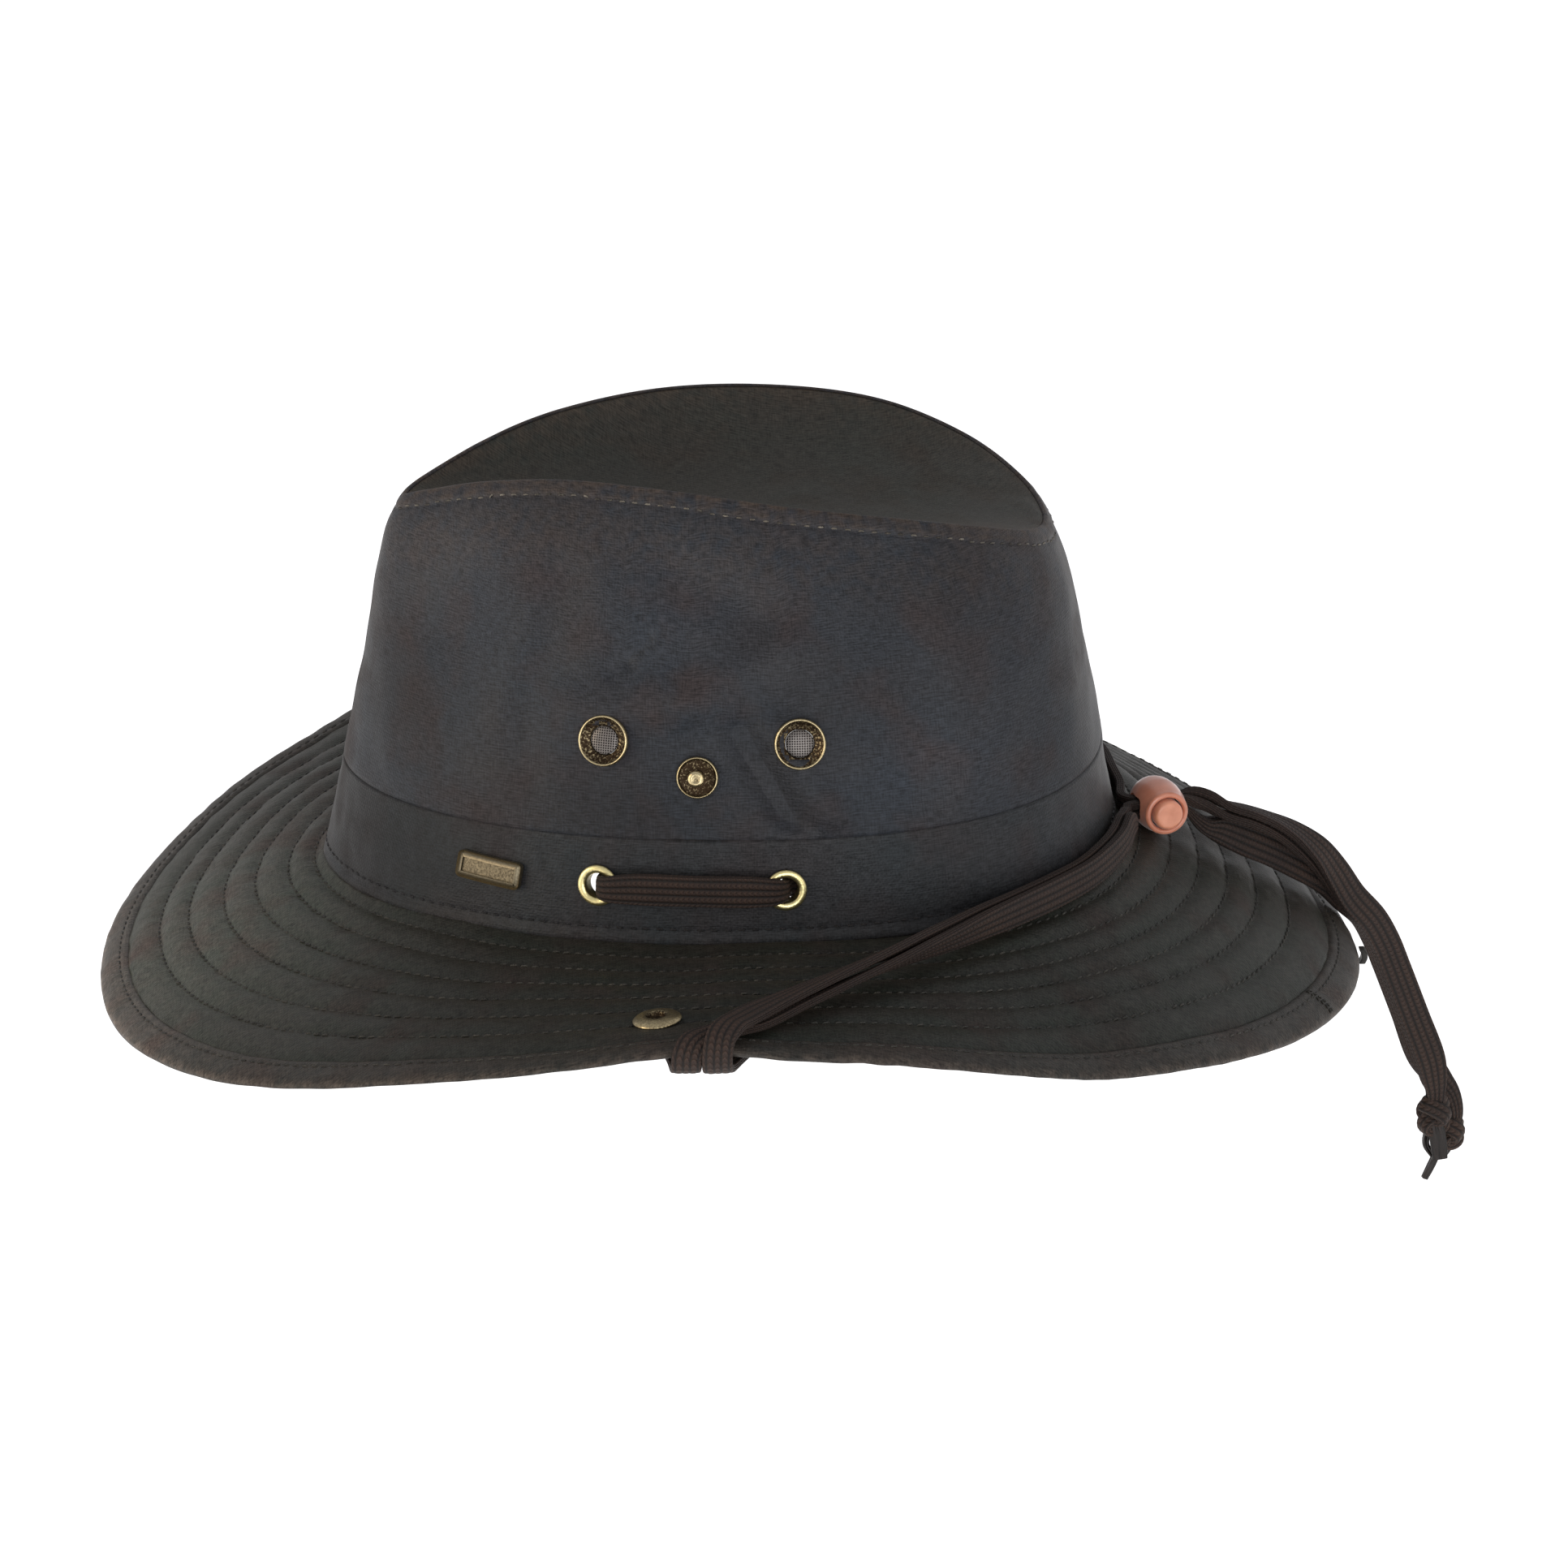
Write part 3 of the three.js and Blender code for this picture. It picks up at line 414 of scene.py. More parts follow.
@dataclass(frozen=True)
class MouldedPlastic(Finish):
    """Injection-moulded acetal, coloured through, with a smooth glossy skin and faint flow streaks.

    Args:
        body: The plastic's colour.
        streak: The colour of its streaks.
    """

    body: str = "#d0866a"
    streak: str = "#b86e52"

    def material(self) -> Material:
        """Makes the plastic's material."""
        made = Pattern(self.title)
        streaks = made.blotches(4.0, 0.3, 0.75, 5.0)
        return made.dressed({
            "Base Color": made.mixed(streaks, self.body, self.streak), "Roughness": self.roughness,
            "Normal": made.bump((made.blotches(0.8, 0.0, 1.0), 0.01)), "IOR": 1.48, "Coat Weight": 0.5,
            "Coat Roughness": 0.3, "Sheen Weight": 0.3, "Sheen Roughness": 0.4})


@dataclass(frozen=True)
class PaleFloor(Finish):
    """Matt white background paper, lit so evenly that it shows no edge.

    Args:
        glow: The light that the paper seems to give off.
    """

    glow: float = 0.6

    def material(self) -> Material:
        """Makes the floor's material."""
        return Pattern(self.title).dressed({
            "Base Color": "#fafafa", "Roughness": self.roughness, "Emission Color": "#ffffff",
            "Emission Strength": self.glow})


# Measures


def unit(vectors: Points) -> Points:
    """Scales vectors to a length of 1."""
    return vectors / np.linalg.norm(vectors, axis=-1, keepdims=True)


def travelled(line: Points) -> Points:
    """Gives each point's distance from the first one, along their line."""
    return np.concatenate(([0.0], np.cumsum(np.linalg.norm(np.diff(line, axis=0), axis=-1))))


def distance_along(points: Points) -> Points:
    """Gives each row's distance from the first, along its column."""
    steps = np.linalg.norm(np.diff(points, axis=1), axis=-1)
    return np.concatenate([np.zeros((len(points), 1)), np.cumsum(steps, axis=1)], axis=1)


def bell(away: Points, reach: float) -> Points:
    """Gives 1 in the middle of a soft bump, falling to nearly 0 at twice its reach."""
    return np.exp(-(away / reach) ** 2)


def lip(away: Points, reach: float) -> Points:
    """Gives 1 at an edge, falling to 0 at its reach, for the way cloth turns down at a seam."""
    return np.clip(1 - away / reach, 0, 1) ** 2


def smooth_step(value: Points) -> Points:
    """Gives 0 below 0, 1 above 1 and a smooth way between."""
    share = np.clip(value, 0, 1)
    return share * share * (3 - 2 * share)


def looped(values: Points) -> Points:
    """Repeats the first row at the end, so that a line round the hat meets itself."""
    return np.concatenate([values, values[:1]])


def squared(vectors: Points, ahead: Points) -> Points:
    """Turns vectors square to a line's unit directions, with a length of 1."""
    return unit(vectors - np.sum(vectors * ahead, axis=-1, keepdims=True) * ahead)


# The hat's form, as in its frame


@dataclass(frozen=True)
class Swell:
    """A soft rise of the rim, by how far forward or back along it is.

    Args:
        height: How high it is.
        at: Its middle.
        wide: Its width.
    """

    height: float = 0.0
    at: float = 0.0
    wide: float = 1.0


@dataclass(frozen=True)
class LevelCurve:
    """An oval round the hat that droops to its front and back.

    Args:
        shift: How far its middle lies back.
        front: Its reach forward.
        back: Its reach backward.
        side: Its reach to each side.
        front_power: How square its front half is.
        back_power: How square its back half is.
        height: Its height at the sides.
        front_drop: How far the front droops.
        back_drop: How far the back droops.
        front_bend: How late the front's droop comes.
        back_bend: How late the back's droop comes.
        front_swell: The front's rise.
        back_swell: The back's rise.
    """

    shift: float
    front: float
    back: float
    side: float
    front_power: float
    back_power: float
    height: float
    front_drop: float
    back_drop: float
    front_bend: float = 2.0
    back_bend: float = 2.0
    front_swell: Swell = Swell()
    back_swell: Swell = Swell()

    def at(self, angle: Points) -> Points:
        """Gives the curve's points at some angles."""
        c, s = np.cos(angle), np.sin(angle)
        ahead = c < 0
        power = 2 / np.where(ahead, self.front_power, self.back_power)
        reach = np.where(ahead, self.front, self.back)
        drop = np.where(ahead, self.front_drop, self.back_drop)
        bend = np.where(ahead, self.front_bend, self.back_bend)
        away = np.abs(c)
        rise = np.where(ahead, self._rise(self.front_swell, away), self._rise(self.back_swell, away))
        x = self.shift + reach * np.sign(c) * away ** power
        y = self.side * np.sign(s) * np.abs(s) ** power
        return np.stack((x, y, self.height - drop * away ** bend + rise), axis=-1)

    @staticmethod
    def _rise(swell: Swell, away: Points) -> Points:
        """Gives a swell's height."""
        return swell.height * bell(away - swell.at, swell.wide)


HEAD_OPENING = LevelCurve(0.0, 102.0, 101.6, 83.6, 1.8, 2.5, 0.0, 7.0, -3.0)
BAND_TOP = LevelCurve(1.0, 97.2, 97.0, 80.5, 1.75, 2.35, 27.3, 6.8, 0.3)
RIM = LevelCurve(-5.4, 155.0, 172.0, 152.5, 2.1, 1.9, 3.0, 40.4, 41.0, 1.3, 1.17,
                 Swell(0.8, 0.4, 0.25), Swell(2.3, 0.27, 0.17))
BAND_HEIGHT = 27.3
ROUGH_REACH = 95


@dataclass(frozen=True)
class Dent:
    """A soft hollow in a side panel, mirrored to the other side.

    Args:
        angle: Its place round the hat in degrees.
        up: Its height as a share of the panel's.
        wide: Its width in degrees.
        tall: Its height as a share of the panel's.
        depth: Its depth.
    """

    angle: float
    up: float
    wide: float
    tall: float
    depth: float


@dataclass(frozen=True)
class Crease:
    """A soft fold in a side panel, along a straight line seen from the side.

    Args:
        start: Its first end, along the hat and up.
        end: Its other end.
        wide: Its width.
        height: How far it stands out; a valley's is below zero.
    """

    start: tuple[float, float]
    end: tuple[float, float]
    wide: float
    height: float

    def rise(self, x: Points, z: Points) -> Points:
        """Gives how far the cloth stands out at some places."""
        ax, az = self.start
        bx, bz = self.end
        length = (bx - ax) ** 2 + (bz - az) ** 2
        along = np.clip(((x - ax) * (bx - ax) + (z - az) * (bz - az)) / length, 0, 1)
        away = (x - ax - along * (bx - ax)) ** 2 + (z - az - along * (bz - az)) ** 2
        return self.height * np.exp(-away / self.wide ** 2)


@dataclass(frozen=True)
class Fade:
    """A broad patch of painted light, which draws the cloth paler, or of painted shade where its share is
    below zero.

    Args:
        at: Its middle, along the hat and up, or round the brim in degrees and out.
        reach: How far it reaches along and up, or round and out.
        share: How much paler it is, as a share of the cloth's own colour; a darker one's is below zero.
    """

    at: tuple[float, float]
    reach: tuple[float, float]
    share: float

    def over(self, first: Points, second: Points) -> Points:
        """Gives how much paler some places are."""
        away = ((first - self.at[0]) / self.reach[0]) ** 2 + ((second - self.at[1]) / self.reach[1]) ** 2
        return self.share * np.exp(-away)


def tone_shift(painted_lights: Sequence[Fade], base: Points) -> Points:
    """Gives the painted light and shade on a wall at its points, as shares of the cloth's own colour."""
    return sum(painted_light.over(base[..., 0], base[..., 2]) for painted_light in painted_lights)


@dataclass(frozen=True)
class Ripples:
    """Smooth random waves in space, the same each time.

    Args:
        size: The mean wavelength.
        seed: The number that fixes the waves.
        count: How many waves there are.
    """

    size: float
    seed: int
    count: int = 14

    def at(self, points: Points) -> Points:
        """Gives values of about -1 to 1 at some points."""
        draw = np.random.default_rng(self.seed)
        total = np.zeros(points.shape[:-1])
        for _ in range(self.count):
            way = draw.normal(size=3)
            way *= TURN / (self.size * draw.uniform(0.7, 1.6)) / np.linalg.norm(way)
            total += np.sin(points @ way + draw.uniform(0, TURN))
        return total / math.sqrt(self.count)


@dataclass(frozen=True)
class HatForm:
    """The surfaces that all the cloth is cut to.

    Args:
        ridge_middle: The middle of the crown's top along the hat.
        ridge_reach: The reach of the ridge forward and back.
        half_widths: The ridge's half widths, every 20 degrees from the back.
        heights: Its heights.
        hollows: The depth of the dent in the top between the ridge's two sides.
        dents: The side panels' hollows.
        creases: The side panels' folds.
    """

    ridge_middle: float = 2.0
    ridge_reach: float = 81.1
    half_widths: tuple[float, ...] = (0, 20.3, 36.0, 46.2, 47.3, 40.0, 27.5, 15.6, 5.6, 0)
    heights: tuple[float, ...] = (82.6, 86.0, 92.6, 98.7, 102.3, 104.4, 103.4, 99.0, 93.6, 91.0)
    hollows: tuple[float, ...] = (0, 2, 6, 11, 14, 15, 12, 7, 2, 0)
    dents: tuple[Dent, ...] = (Dent(145, 0.66, 12, 0.26, 5.0), Dent(97, 0.18, 13, 0.2, 2.2))
    creases: tuple[Crease, ...] = (
        Crease((2.8, 51.9), (17.0, 28.2), 4.2, -1.3),
        Crease((12.0, 52.0), (25.0, 30.0), 5.0, 0.7),
        Crease((-37.5, 55.5), (-9.3, 59.2), 5.5, 0.8),
        Crease((-9.3, 59.2), (12.9, 71.9), 5.5, 0.9),
        Crease((-13.3, 88.3), (8.9, 79.2), 6.0, -0.9),
        Crease((-28.5, 64.6), (-25.0, 67.5), 1.3, -0.45),
        Crease((-25.0, 67.5), (-19.4, 73.7), 1.3, -0.35),
        Crease((-52.0, 42.0), (-40.0, 84.0), 6.0, -0.7),
        Crease((48.0, 40.0), (40.0, 86.0), 9.0, -0.6),
        Crease((62.0, 36.0), (56.0, 74.0), 6.0, 0.5),
    )

    def ridge_value(self, rows: Sequence[float], turn: Points, sign: float) -> Points:
        """Gives a smooth value between the ridge's rows; beyond its ends it is mirrored by sign."""
        last = len(rows) - 1
        place = np.minimum(turn / (math.pi / last), last - 1e-9)
        row = np.floor(place).astype(int)
        f = place - row
        ends = np.array([sign * rows[1], *rows, sign * rows[last - 1]])
        a, b, c, d = (ends[row + k] for k in range(4))
        slope = (c - a) * f
        square = (2 * a - 5 * b + 4 * c - d) * f ** 2
        cube = (3 * b - a - 3 * c + d) * f ** 3
        return b + 0.5 * (slope + square + cube)

    def ridge(self, angle: Points) -> Points:
        """Gives the ridge where the side panels meet the top."""
        turned = np.mod(angle, TURN)
        turn = np.where(turned > math.pi, TURN - turned, turned)
        side = np.where(turned > math.pi, -1, 1)
        return np.stack((self.ridge_middle + self.ridge_reach * np.cos(turn),
                         side * self.ridge_value(self.half_widths, turn, -1),
                         self.ridge_value(self.heights, turn, 1)), axis=-1)

    def side_wall(self, angle: Points, up: Points) -> Points:
        """Gives the side panels, from the top of the band (0) to the ridge (1)."""
        low, high = BAND_TOP.at(angle), self.ridge(angle)
        side = np.abs(np.sin(angle))
        straight = 0.75 - 0.3 * side
        inward = straight * up + (1 - straight) * np.clip(up, 0, None) ** (10 - 7.5 * side)
        share = np.stack((inward, inward, up), axis=-1)
        point = low + (high - low) * share
        turned = np.mod(angle, TURN)
        degrees = np.degrees(np.where(turned > math.pi, TURN - turned, turned))
        plan = unit(point * np.array((0.6, 1.0, 0.0)))
        for dent in self.dents:
            away = ((degrees - dent.angle) / dent.wide) ** 2 + ((up - dent.up) / dent.tall) ** 2
            point = point - (dent.depth * np.exp(-away))[..., None] * plan
        return point

    def band_wall(self, angle: Points, up: Points) -> Points:
        """Gives the band, from the head opening (0) to the seam under the side panels (1)."""
        low, high = HEAD_OPENING.at(angle), BAND_TOP.at(angle)
        return low + (high - low) * up[..., None]

    def brim_top(self, angle: Points, out: Points) -> Points:
        """Gives the upper face of the brim, from the head opening (0) to the rim (1)."""
        inner, outer = HEAD_OPENING.at(angle), RIM.at(angle)
        fall = np.where(out > 0, 0.75 * out + 0.25 * out * out, 0.0)
        share = np.stack((out, out, fall), axis=-1)
        return inner + (outer - inner) * share

    def tip(self, turn: Points, across: Points, inset: float) -> Points:
        """Gives the crown's top, from one side's ridge (-1) to the other's (1).

        Args:
            turn: How far round from the back.
            across: How far from side to side.
            inset: How far the seam draws the top in from the ridge.
        """
        step = 1e-3
        along = self.ridge(np.minimum(turn + step, math.pi)) - self.ridge(np.maximum(turn - step, 0.0))
        inward = unit(np.stack((-along[..., 1], along[..., 0], 0 * turn), axis=-1))
        edge = self.ridge(turn) + inset * inward
        reach = np.maximum(edge[..., 1], 0)
        hollow = self.ridge_value(self.hollows, turn, 1) * (1 - np.abs(across) ** 2.4)
        return np.stack((edge[..., 0], reach * across, edge[..., 2] - 0.3 - hollow), axis=-1)


FORM = HatForm()


def outward(surface: Surface, angle: Points, along: Points) -> Points:
    """Gives a surface's unit normals, pointing away from the head.

    Args:
        surface: The surface, a function of the angle and of how far along it is.
        angle: The angles.
        along: How far along, from 0 to 1.
    """
    step = 1e-3
    around = surface(angle + step, along) - surface(angle - step, along)
    onward = surface(angle, np.where(along == 1, along, along + step))
    onward = onward - surface(angle, np.where(along == 0, along, along - step))
    return unit(np.cross(around, onward))


def brim_up(angle: Points, out: Points) -> Points:
    """Gives the brim's unit normals, pointing up."""
    return -outward(FORM.brim_top, angle, out)


def even_angles(curve: Callable[[Points], Points], first: float, last: float, count: int) -> Points:
    """Gives angles that divide a curve into equal lengths."""
    dense = np.linspace(first, last, 4001)
    run = travelled(curve(dense))
    return np.interp(np.linspace(0, run[-1], count), run, dense)


def settle(surface: Surface, x: float, z: float, side: Side) -> tuple[float, float]:
    """Finds the angle and height share at which a wall has a place along the hat and a height.

    Args:
        surface: The wall.
        x: The place along the hat.
        z: The height.
        side: The side of the hat.
    """
    angle = math.acos(max(-1.0, min(1.0, x / ROUGH_REACH))) * side.value
    up, step = 0.4, 1e-4
    for _ in range(12):
        here = surface(np.array(angle), np.array(up))
        turned = (surface(np.array(angle + step), np.array(up)) - here) / step
        raised = (surface(np.array(angle), np.array(up + step)) - here) / step
        dx, dz = x - here[0], z - here[2]
        det = turned[0] * raised[2] - raised[0] * turned[2]
        angle += (dx * raised[2] - raised[0] * dz) / det
        up += (turned[0] * dz - turned[2] * dx) / det
    return float(angle), float(up)


def seat(surface: Surface, angle: float, along: float, facing: int = 1) -> Matrix:
    """Gives a frame in millimetres on a surface, whose Z axis points away from the cloth."""
    out = Vector(facing * outward(surface, np.array(angle), np.array(along)))
    level = Vector((0, 0, 1)).cross(out)
    if level.length < 0.2:
        level = Vector((1, 0, 0)) - out * out.x
    level.normalize()
    rise = out.cross(level)
    frame = Matrix((level, rise, out)).transposed().to_4x4()
    frame.translation = Vector(surface(np.array(angle), np.array(along)))
    return frame


# Meshes


def make_piece(name: str, points: Points, faces: Points | list, corner_map: Points | None = None,
               marks: dict[str, Points] | None = None) -> Piece:
    """Makes a smooth mesh object whose faces point outwards, at the origin and in metres.

    Args:
        name: The piece's name.
        points: Its points in millimetres.
        faces: Their numbers in each face.
        corner_map: The UV place of each face's corners, in millimetres, in the same order.
        marks: Numbers of each point by the name of an attribute that the finish reads.
    """
    mesh = bpy.data.meshes.new(name)
    mesh.from_pydata((points * MM).tolist(), [], faces.tolist() if isinstance(faces, np.ndarray) else faces)
    if corner_map is not None:
        layer = mesh.uv_layers.new(name=CLOTH_MAP)
        layer.data.foreach_set("uv", np.ascontiguousarray(corner_map, dtype=np.float32).ravel())
    for mark, values in (marks or {}).items():
        mesh.attributes.new(mark, "FLOAT", "POINT").data.foreach_set("value", values.astype(np.float32))
    piece = bpy.data.objects.new(name, mesh)
    bpy.context.scene.collection.objects.link(piece)
    mesh.calc_loop_triangles()
    corners = np.zeros(len(mesh.loop_triangles) * 3, int)
    mesh.loop_triangles.foreach_get("vertices", corners)
    a, b, c = (points[corners.reshape(-1, 3)[:, k]] for k in range(3))
    if np.sum(a * np.cross(b, c)) < 0:
        mesh.flip_normals()
    mesh.shade_smooth()
    return piece


def select_only(piece: Piece) -> None:
    """Makes a piece the only selected and the active one."""
    bpy.ops.object.select_all(action="DESELECT")
    piece.select_set(True)
    bpy.context.view_layer.objects.active = piece


@contextmanager
def editing(piece: Piece, action: str | None = "SELECT") -> Iterator[None]:
    """Opens a piece's mesh for edits, with all of it selected or deselected, or as it was (None)."""
    select_only(piece)
    bpy.ops.object.mode_set(mode="EDIT")
    if action:
        bpy.ops.mesh.select_all(action=action)
    yield
    bpy.ops.object.mode_set(mode="OBJECT")


def tidy_mesh(piece: Piece, distance: float = 0.004) -> None:
    """Merges a mesh's points that are within some millimetres, and deletes its loose ones."""
    with editing(piece):
        bpy.ops.mesh.remove_doubles(threshold=distance * MM)
        bpy.ops.mesh.dissolve_degenerate(threshold=distance * MM / 10)
        bpy.ops.mesh.delete_loose()


def add_box(name: str, centre: Sequence[float], size: Sequence[float]) -> Piece:
    """Makes a plain box."""
    bpy.ops.object.select_all(action="DESELECT")
    bpy.ops.mesh.primitive_cube_add(size=1, location=centre, scale=size)
    box = bpy.context.object
    box.name = box.data.name = name
    bpy.ops.object.transform_apply(location=True, rotation=True, scale=True)
    return box


def round_edges(box: Piece, radius: float, segments: int, axis: int | None = None) -> None:
    """Rounds the edges of a box in millimetres, those along one axis or all of them.

    Args:
        box: The box.
        radius: The rounding's radius.
        segments: How many faces it has.
        axis: The axis of the edges, 0 to 2, or None for all.
    """
    with editing(box, "DESELECT"):
        bpy.ops.mesh.select_mode(type="EDGE")
    for edge in box.data.edges:
        first, second = (box.data.vertices[k].co for k in edge.vertices)
        edge.select = axis is None or abs(first[axis] - second[axis]) > 0.01
    with editing(box, None):
        bpy.ops.mesh.bevel(offset=radius, segments=segments, affect="EDGES")


def apply_modifiers(piece: Piece) -> None:
    """Applies all of a piece's modifiers."""
    select_only(piece)
    for modifier in list(piece.modifiers):
        bpy.ops.object.modifier_apply(modifier=modifier.name)


def hand_over(piece: Piece, material: Material, nodes: Sequence[str] = (),
              body: str = "hat") -> None:
    """Dresses a finished piece and ties it to the frame.

    Args:
        piece: The piece.
        material: Its material.
        nodes: The CAD nodes that it stands for.
        body: The body that it moves with.
    """
    piece.data.materials.clear()
    piece.data.materials.append(material)
    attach(piece, body)
    if nodes:
        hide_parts(*nodes)
    LOG.info("%s: %d faces", piece.name, len(piece.data.polygons))


@dataclass
class Wall:
    """A sewn cloth wall: an outer and an inner grid of points, closed round all its edges.

    Args:
        outer: The outer points, by column and row.
        inner: The inner points.
        is_ring: Whether the last column meets the first.
        wear: How worn the cloth is at each point, from 0 to 1.
        painted_light: The painted light and shade at each point: how much paler the cloth is drawn there, as
            a share of its own colour.
        holes: Which cells between the points are cut out.
        edge_round: How far the middle of an edge stands out, as a share of the thickness.
        inner_wear: The inner face's wear, as a share of the outer's.
        edge_wear: How worn the edges are.
    """

    outer: Points
    inner: Points
    is_ring: bool
    wear: Points
    painted_light: Points | None = None
    holes: Points | None = None
    edge_round: float = 0.32
    inner_wear: float = 0.3
    edge_wear: float = 0.5

    def build(self, name: str) -> Piece:
        """Makes the wall's mesh, with a UV map in millimetres."""
        columns, rows = self.outer.shape[:2]
        cells = columns if self.is_ring else columns - 1
        flat = [self.outer.reshape(-1, 3), self.inner.reshape(-1, 3)]
        count = columns * rows
        middles = {}
        for row, beyond in ((0, 1), (rows - 1, rows - 2)):
            middles[row] = 2 * count + (len(middles) * columns) + np.arange(columns)
            flat.append(self._edge(self.outer[:, row], self.inner[:, row], self.outer[:, beyond]))
        start = 2 * count + 2 * columns
        ends = {}
        if not self.is_ring:
            for column, beyond in ((0, 1), (columns - 1, columns - 2)):
                numbers = start + np.arange(rows)
                start += rows
                flat.append(self._edge(self.outer[column], self.inner[column], self.outer[beyond]))
                numbers[0], numbers[-1] = middles[0][column], middles[rows - 1][column]
                ends[column] = numbers
        points = np.concatenate(flat)
        u, v = self._measures()
        faces, places = [], []

        def quad(numbers: Sequence[Points], at: Sequence[tuple[Points, Points]]) -> None:
            """Adds quads, by the numbers of their corners and the grid places of their UV."""
            faces.append(np.stack([np.ravel(n) for n in numbers], axis=-1))
            places.append(np.stack([np.stack((u[np.ravel(i), np.ravel(j)], v[np.ravel(i), np.ravel(j)]), -1)
                                    for i, j in at], axis=1))

        i, j = np.meshgrid(np.arange(cells), np.arange(rows - 1), indexing="ij")
        kept = np.ones_like(i, bool) if self.holes is None else ~self.holes
        a, b = i[kept], j[kept]

        def out(c: Points, r: Points) -> Points:
            """Gives the numbers of outer points."""
            return (c % columns) * rows + r

        quad([out(a, b), out(a + 1, b), out(a + 1, b + 1), out(a, b + 1)],
             [(a, b), (a + 1, b), (a + 1, b + 1), (a, b + 1)])
        quad([count + out(a, b), count + out(a, b + 1), count + out(a + 1, b + 1), count + out(a + 1, b)],
             [(a, b), (a, b + 1), (a + 1, b + 1), (a + 1, b)])
        c = np.arange(cells)
        for row, first, second in ((0, c + 1, c), (rows - 1, c, c + 1)):
            r = np.full(cells, row)
            m = middles[row]
            corners = [(first, r), (second, r), (second, r), (first, r)]
            quad([out(first, r), out(second, r), m[second % columns], m[first % columns]], corners)
            quad([m[first % columns], m[second % columns], count + out(second, r), count + out(first, r)],
                 corners)
        r = np.arange(rows - 1)
        for column, m in ends.items():
            first, second = (r, r + 1) if column == 0 else (r + 1, r)
            k = np.full(rows - 1, column)
            corners = [(k, first), (k, second), (k, second), (k, first)]
            quad([out(k, first), out(k, second), m[second], m[first]], corners)
            quad([m[first], m[second], count + out(k, second), count + out(k, first)], corners)
        if self.holes is not None:
            self._line_holes(quad, out, count, cells)
        edges = len(points) - 2 * count
        wear = np.concatenate([self.wear.ravel(), self.inner_wear * self.wear.ravel(),
                               np.full(edges, self.edge_wear)])
        # The painted light and shade, the same on both faces; the edges get none.
        painted_light = np.zeros(count) if self.painted_light is None else self.painted_light.ravel()
        painted_light = np.concatenate([painted_light, painted_light, np.zeros(edges)])
        piece = make_piece(name, points, np.concatenate(faces), np.concatenate(places).reshape(-1, 2),
                           {WEAR: wear, PAINTED_LIGHT: painted_light})
        tidy_mesh(piece)
        return piece

    def _edge(self, outer: Points, inner: Points, beyond: Points) -> Points:
        """Gives the rounded middle of an edge."""
        away = outer - beyond
        away /= np.maximum(np.linalg.norm(away, axis=-1, keepdims=True), 1e-9)
        thick = np.linalg.norm(outer - inner, axis=-1, keepdims=True)
        return (outer + inner) / 2 + self.edge_round * thick * away

    def _measures(self) -> tuple[Points, Points]:
        """Gives each grid point's distance round the middle row and up its own column."""
        ring = looped(self.outer) if self.is_ring else self.outer
        u = travelled(ring[:, ring.shape[1] // 2])
        return np.repeat(u[:, None], ring.shape[1], axis=1), distance_along(ring)

    def _line_holes(self, quad: Callable, out: Callable, count: int, cells: int) -> None:
        """Joins the outer and inner face round each hole."""
        at_i, at_j = np.nonzero(self.holes)
        for i, j in zip(at_i, at_j):
            sides = (((i - 1) % cells, j, (i, j + 1), (i, j)),
                     ((i + 1) % cells, j, (i + 1, j), (i + 1, j + 1)),
                     (i, j - 1, (i, j), (i + 1, j)), (i, j + 1, (i + 1, j + 1), (i, j + 1)))
            for near_i, near_j, first, second in sides:
                if not self.holes[near_i, near_j]:
                    p, q = (tuple(np.array([n]) for n in place) for place in (first, second))
                    quad([out(*p), out(*q), count + out(*q), count + out(*p)], [p, q, q, p])


@dataclass(frozen=True)
class StitchRow:
    """A row of machine stitches.

    Args:
        pitch: The distance from one stitch to the next.
        length: The length of a stitch.
        width: The thickness of the thread.
        lean: How far a stitch turns from the row, in radians.
        sunk: How deep its ends lie in the cloth.
        crown: How high its middle stands.
    """

    pitch: float
    length: float
    width: float
    lean: float
    sunk: float
    crown: float = 0.12

    def shape(self, line: Points, normal: Points, is_ring: bool = False) -> tuple[Points, Points]:
        """Makes the stitches along a line on the cloth.

        Args:
            line: The line's points.
            normal: The cloth's unit normal at each.
            is_ring: Whether the line's end meets its start.

        Returns:
            The stitches' points, and their faces.
        """
        run = travelled(line)
        count = int(run[-1] / self.pitch)
        middle = (np.arange(count) + 0.5) * (run[-1] / count if is_ring else self.pitch)

        def at(distance: Points, values: Points) -> Points:
            """Gives values some way along the line."""
            return np.stack([np.interp(distance, run, values[:, k]) for k in range(3)], axis=-1)

        centre, out = at(middle, line), at(middle, normal)
        ahead = unit(at(middle + 0.3, line) - at(middle - 0.3, line))
        out = squared(out, ahead)
        across = np.cross(out, ahead)
        cosine, sine = math.cos(self.lean), math.sin(self.lean)
        ahead, across = cosine * ahead + sine * across, cosine * across - sine * ahead
        points = []
        for along, size, rise in ((-0.5, 0.35, -self.sunk), (-0.28, 1.0, self.crown),
                                  (0.28, 1.0, self.crown), (0.5, 0.35, -self.sunk)):
            for side, up in ((1, 0), (0, 1), (-1, 0), (0, -1)):
                points.append(centre + along * self.length * ahead + side * size * self.width / 2 * across
                              + (rise + up * size * self.width / 2) * out)
        faces = [(4 * r + k, 4 * r + (k + 1) % 4, 4 * r + 4 + (k + 1) % 4, 4 * r + 4 + k)
                 for r in range(3) for k in range(4)]
        faces += [(3, 2, 1, 0), (12, 13, 14, 15)]
        numbers = np.arange(count)[:, None, None] * len(points) + np.array(faces)[None]
        return np.stack(points, axis=1).reshape(-1, 3), numbers.reshape(-1, 4)


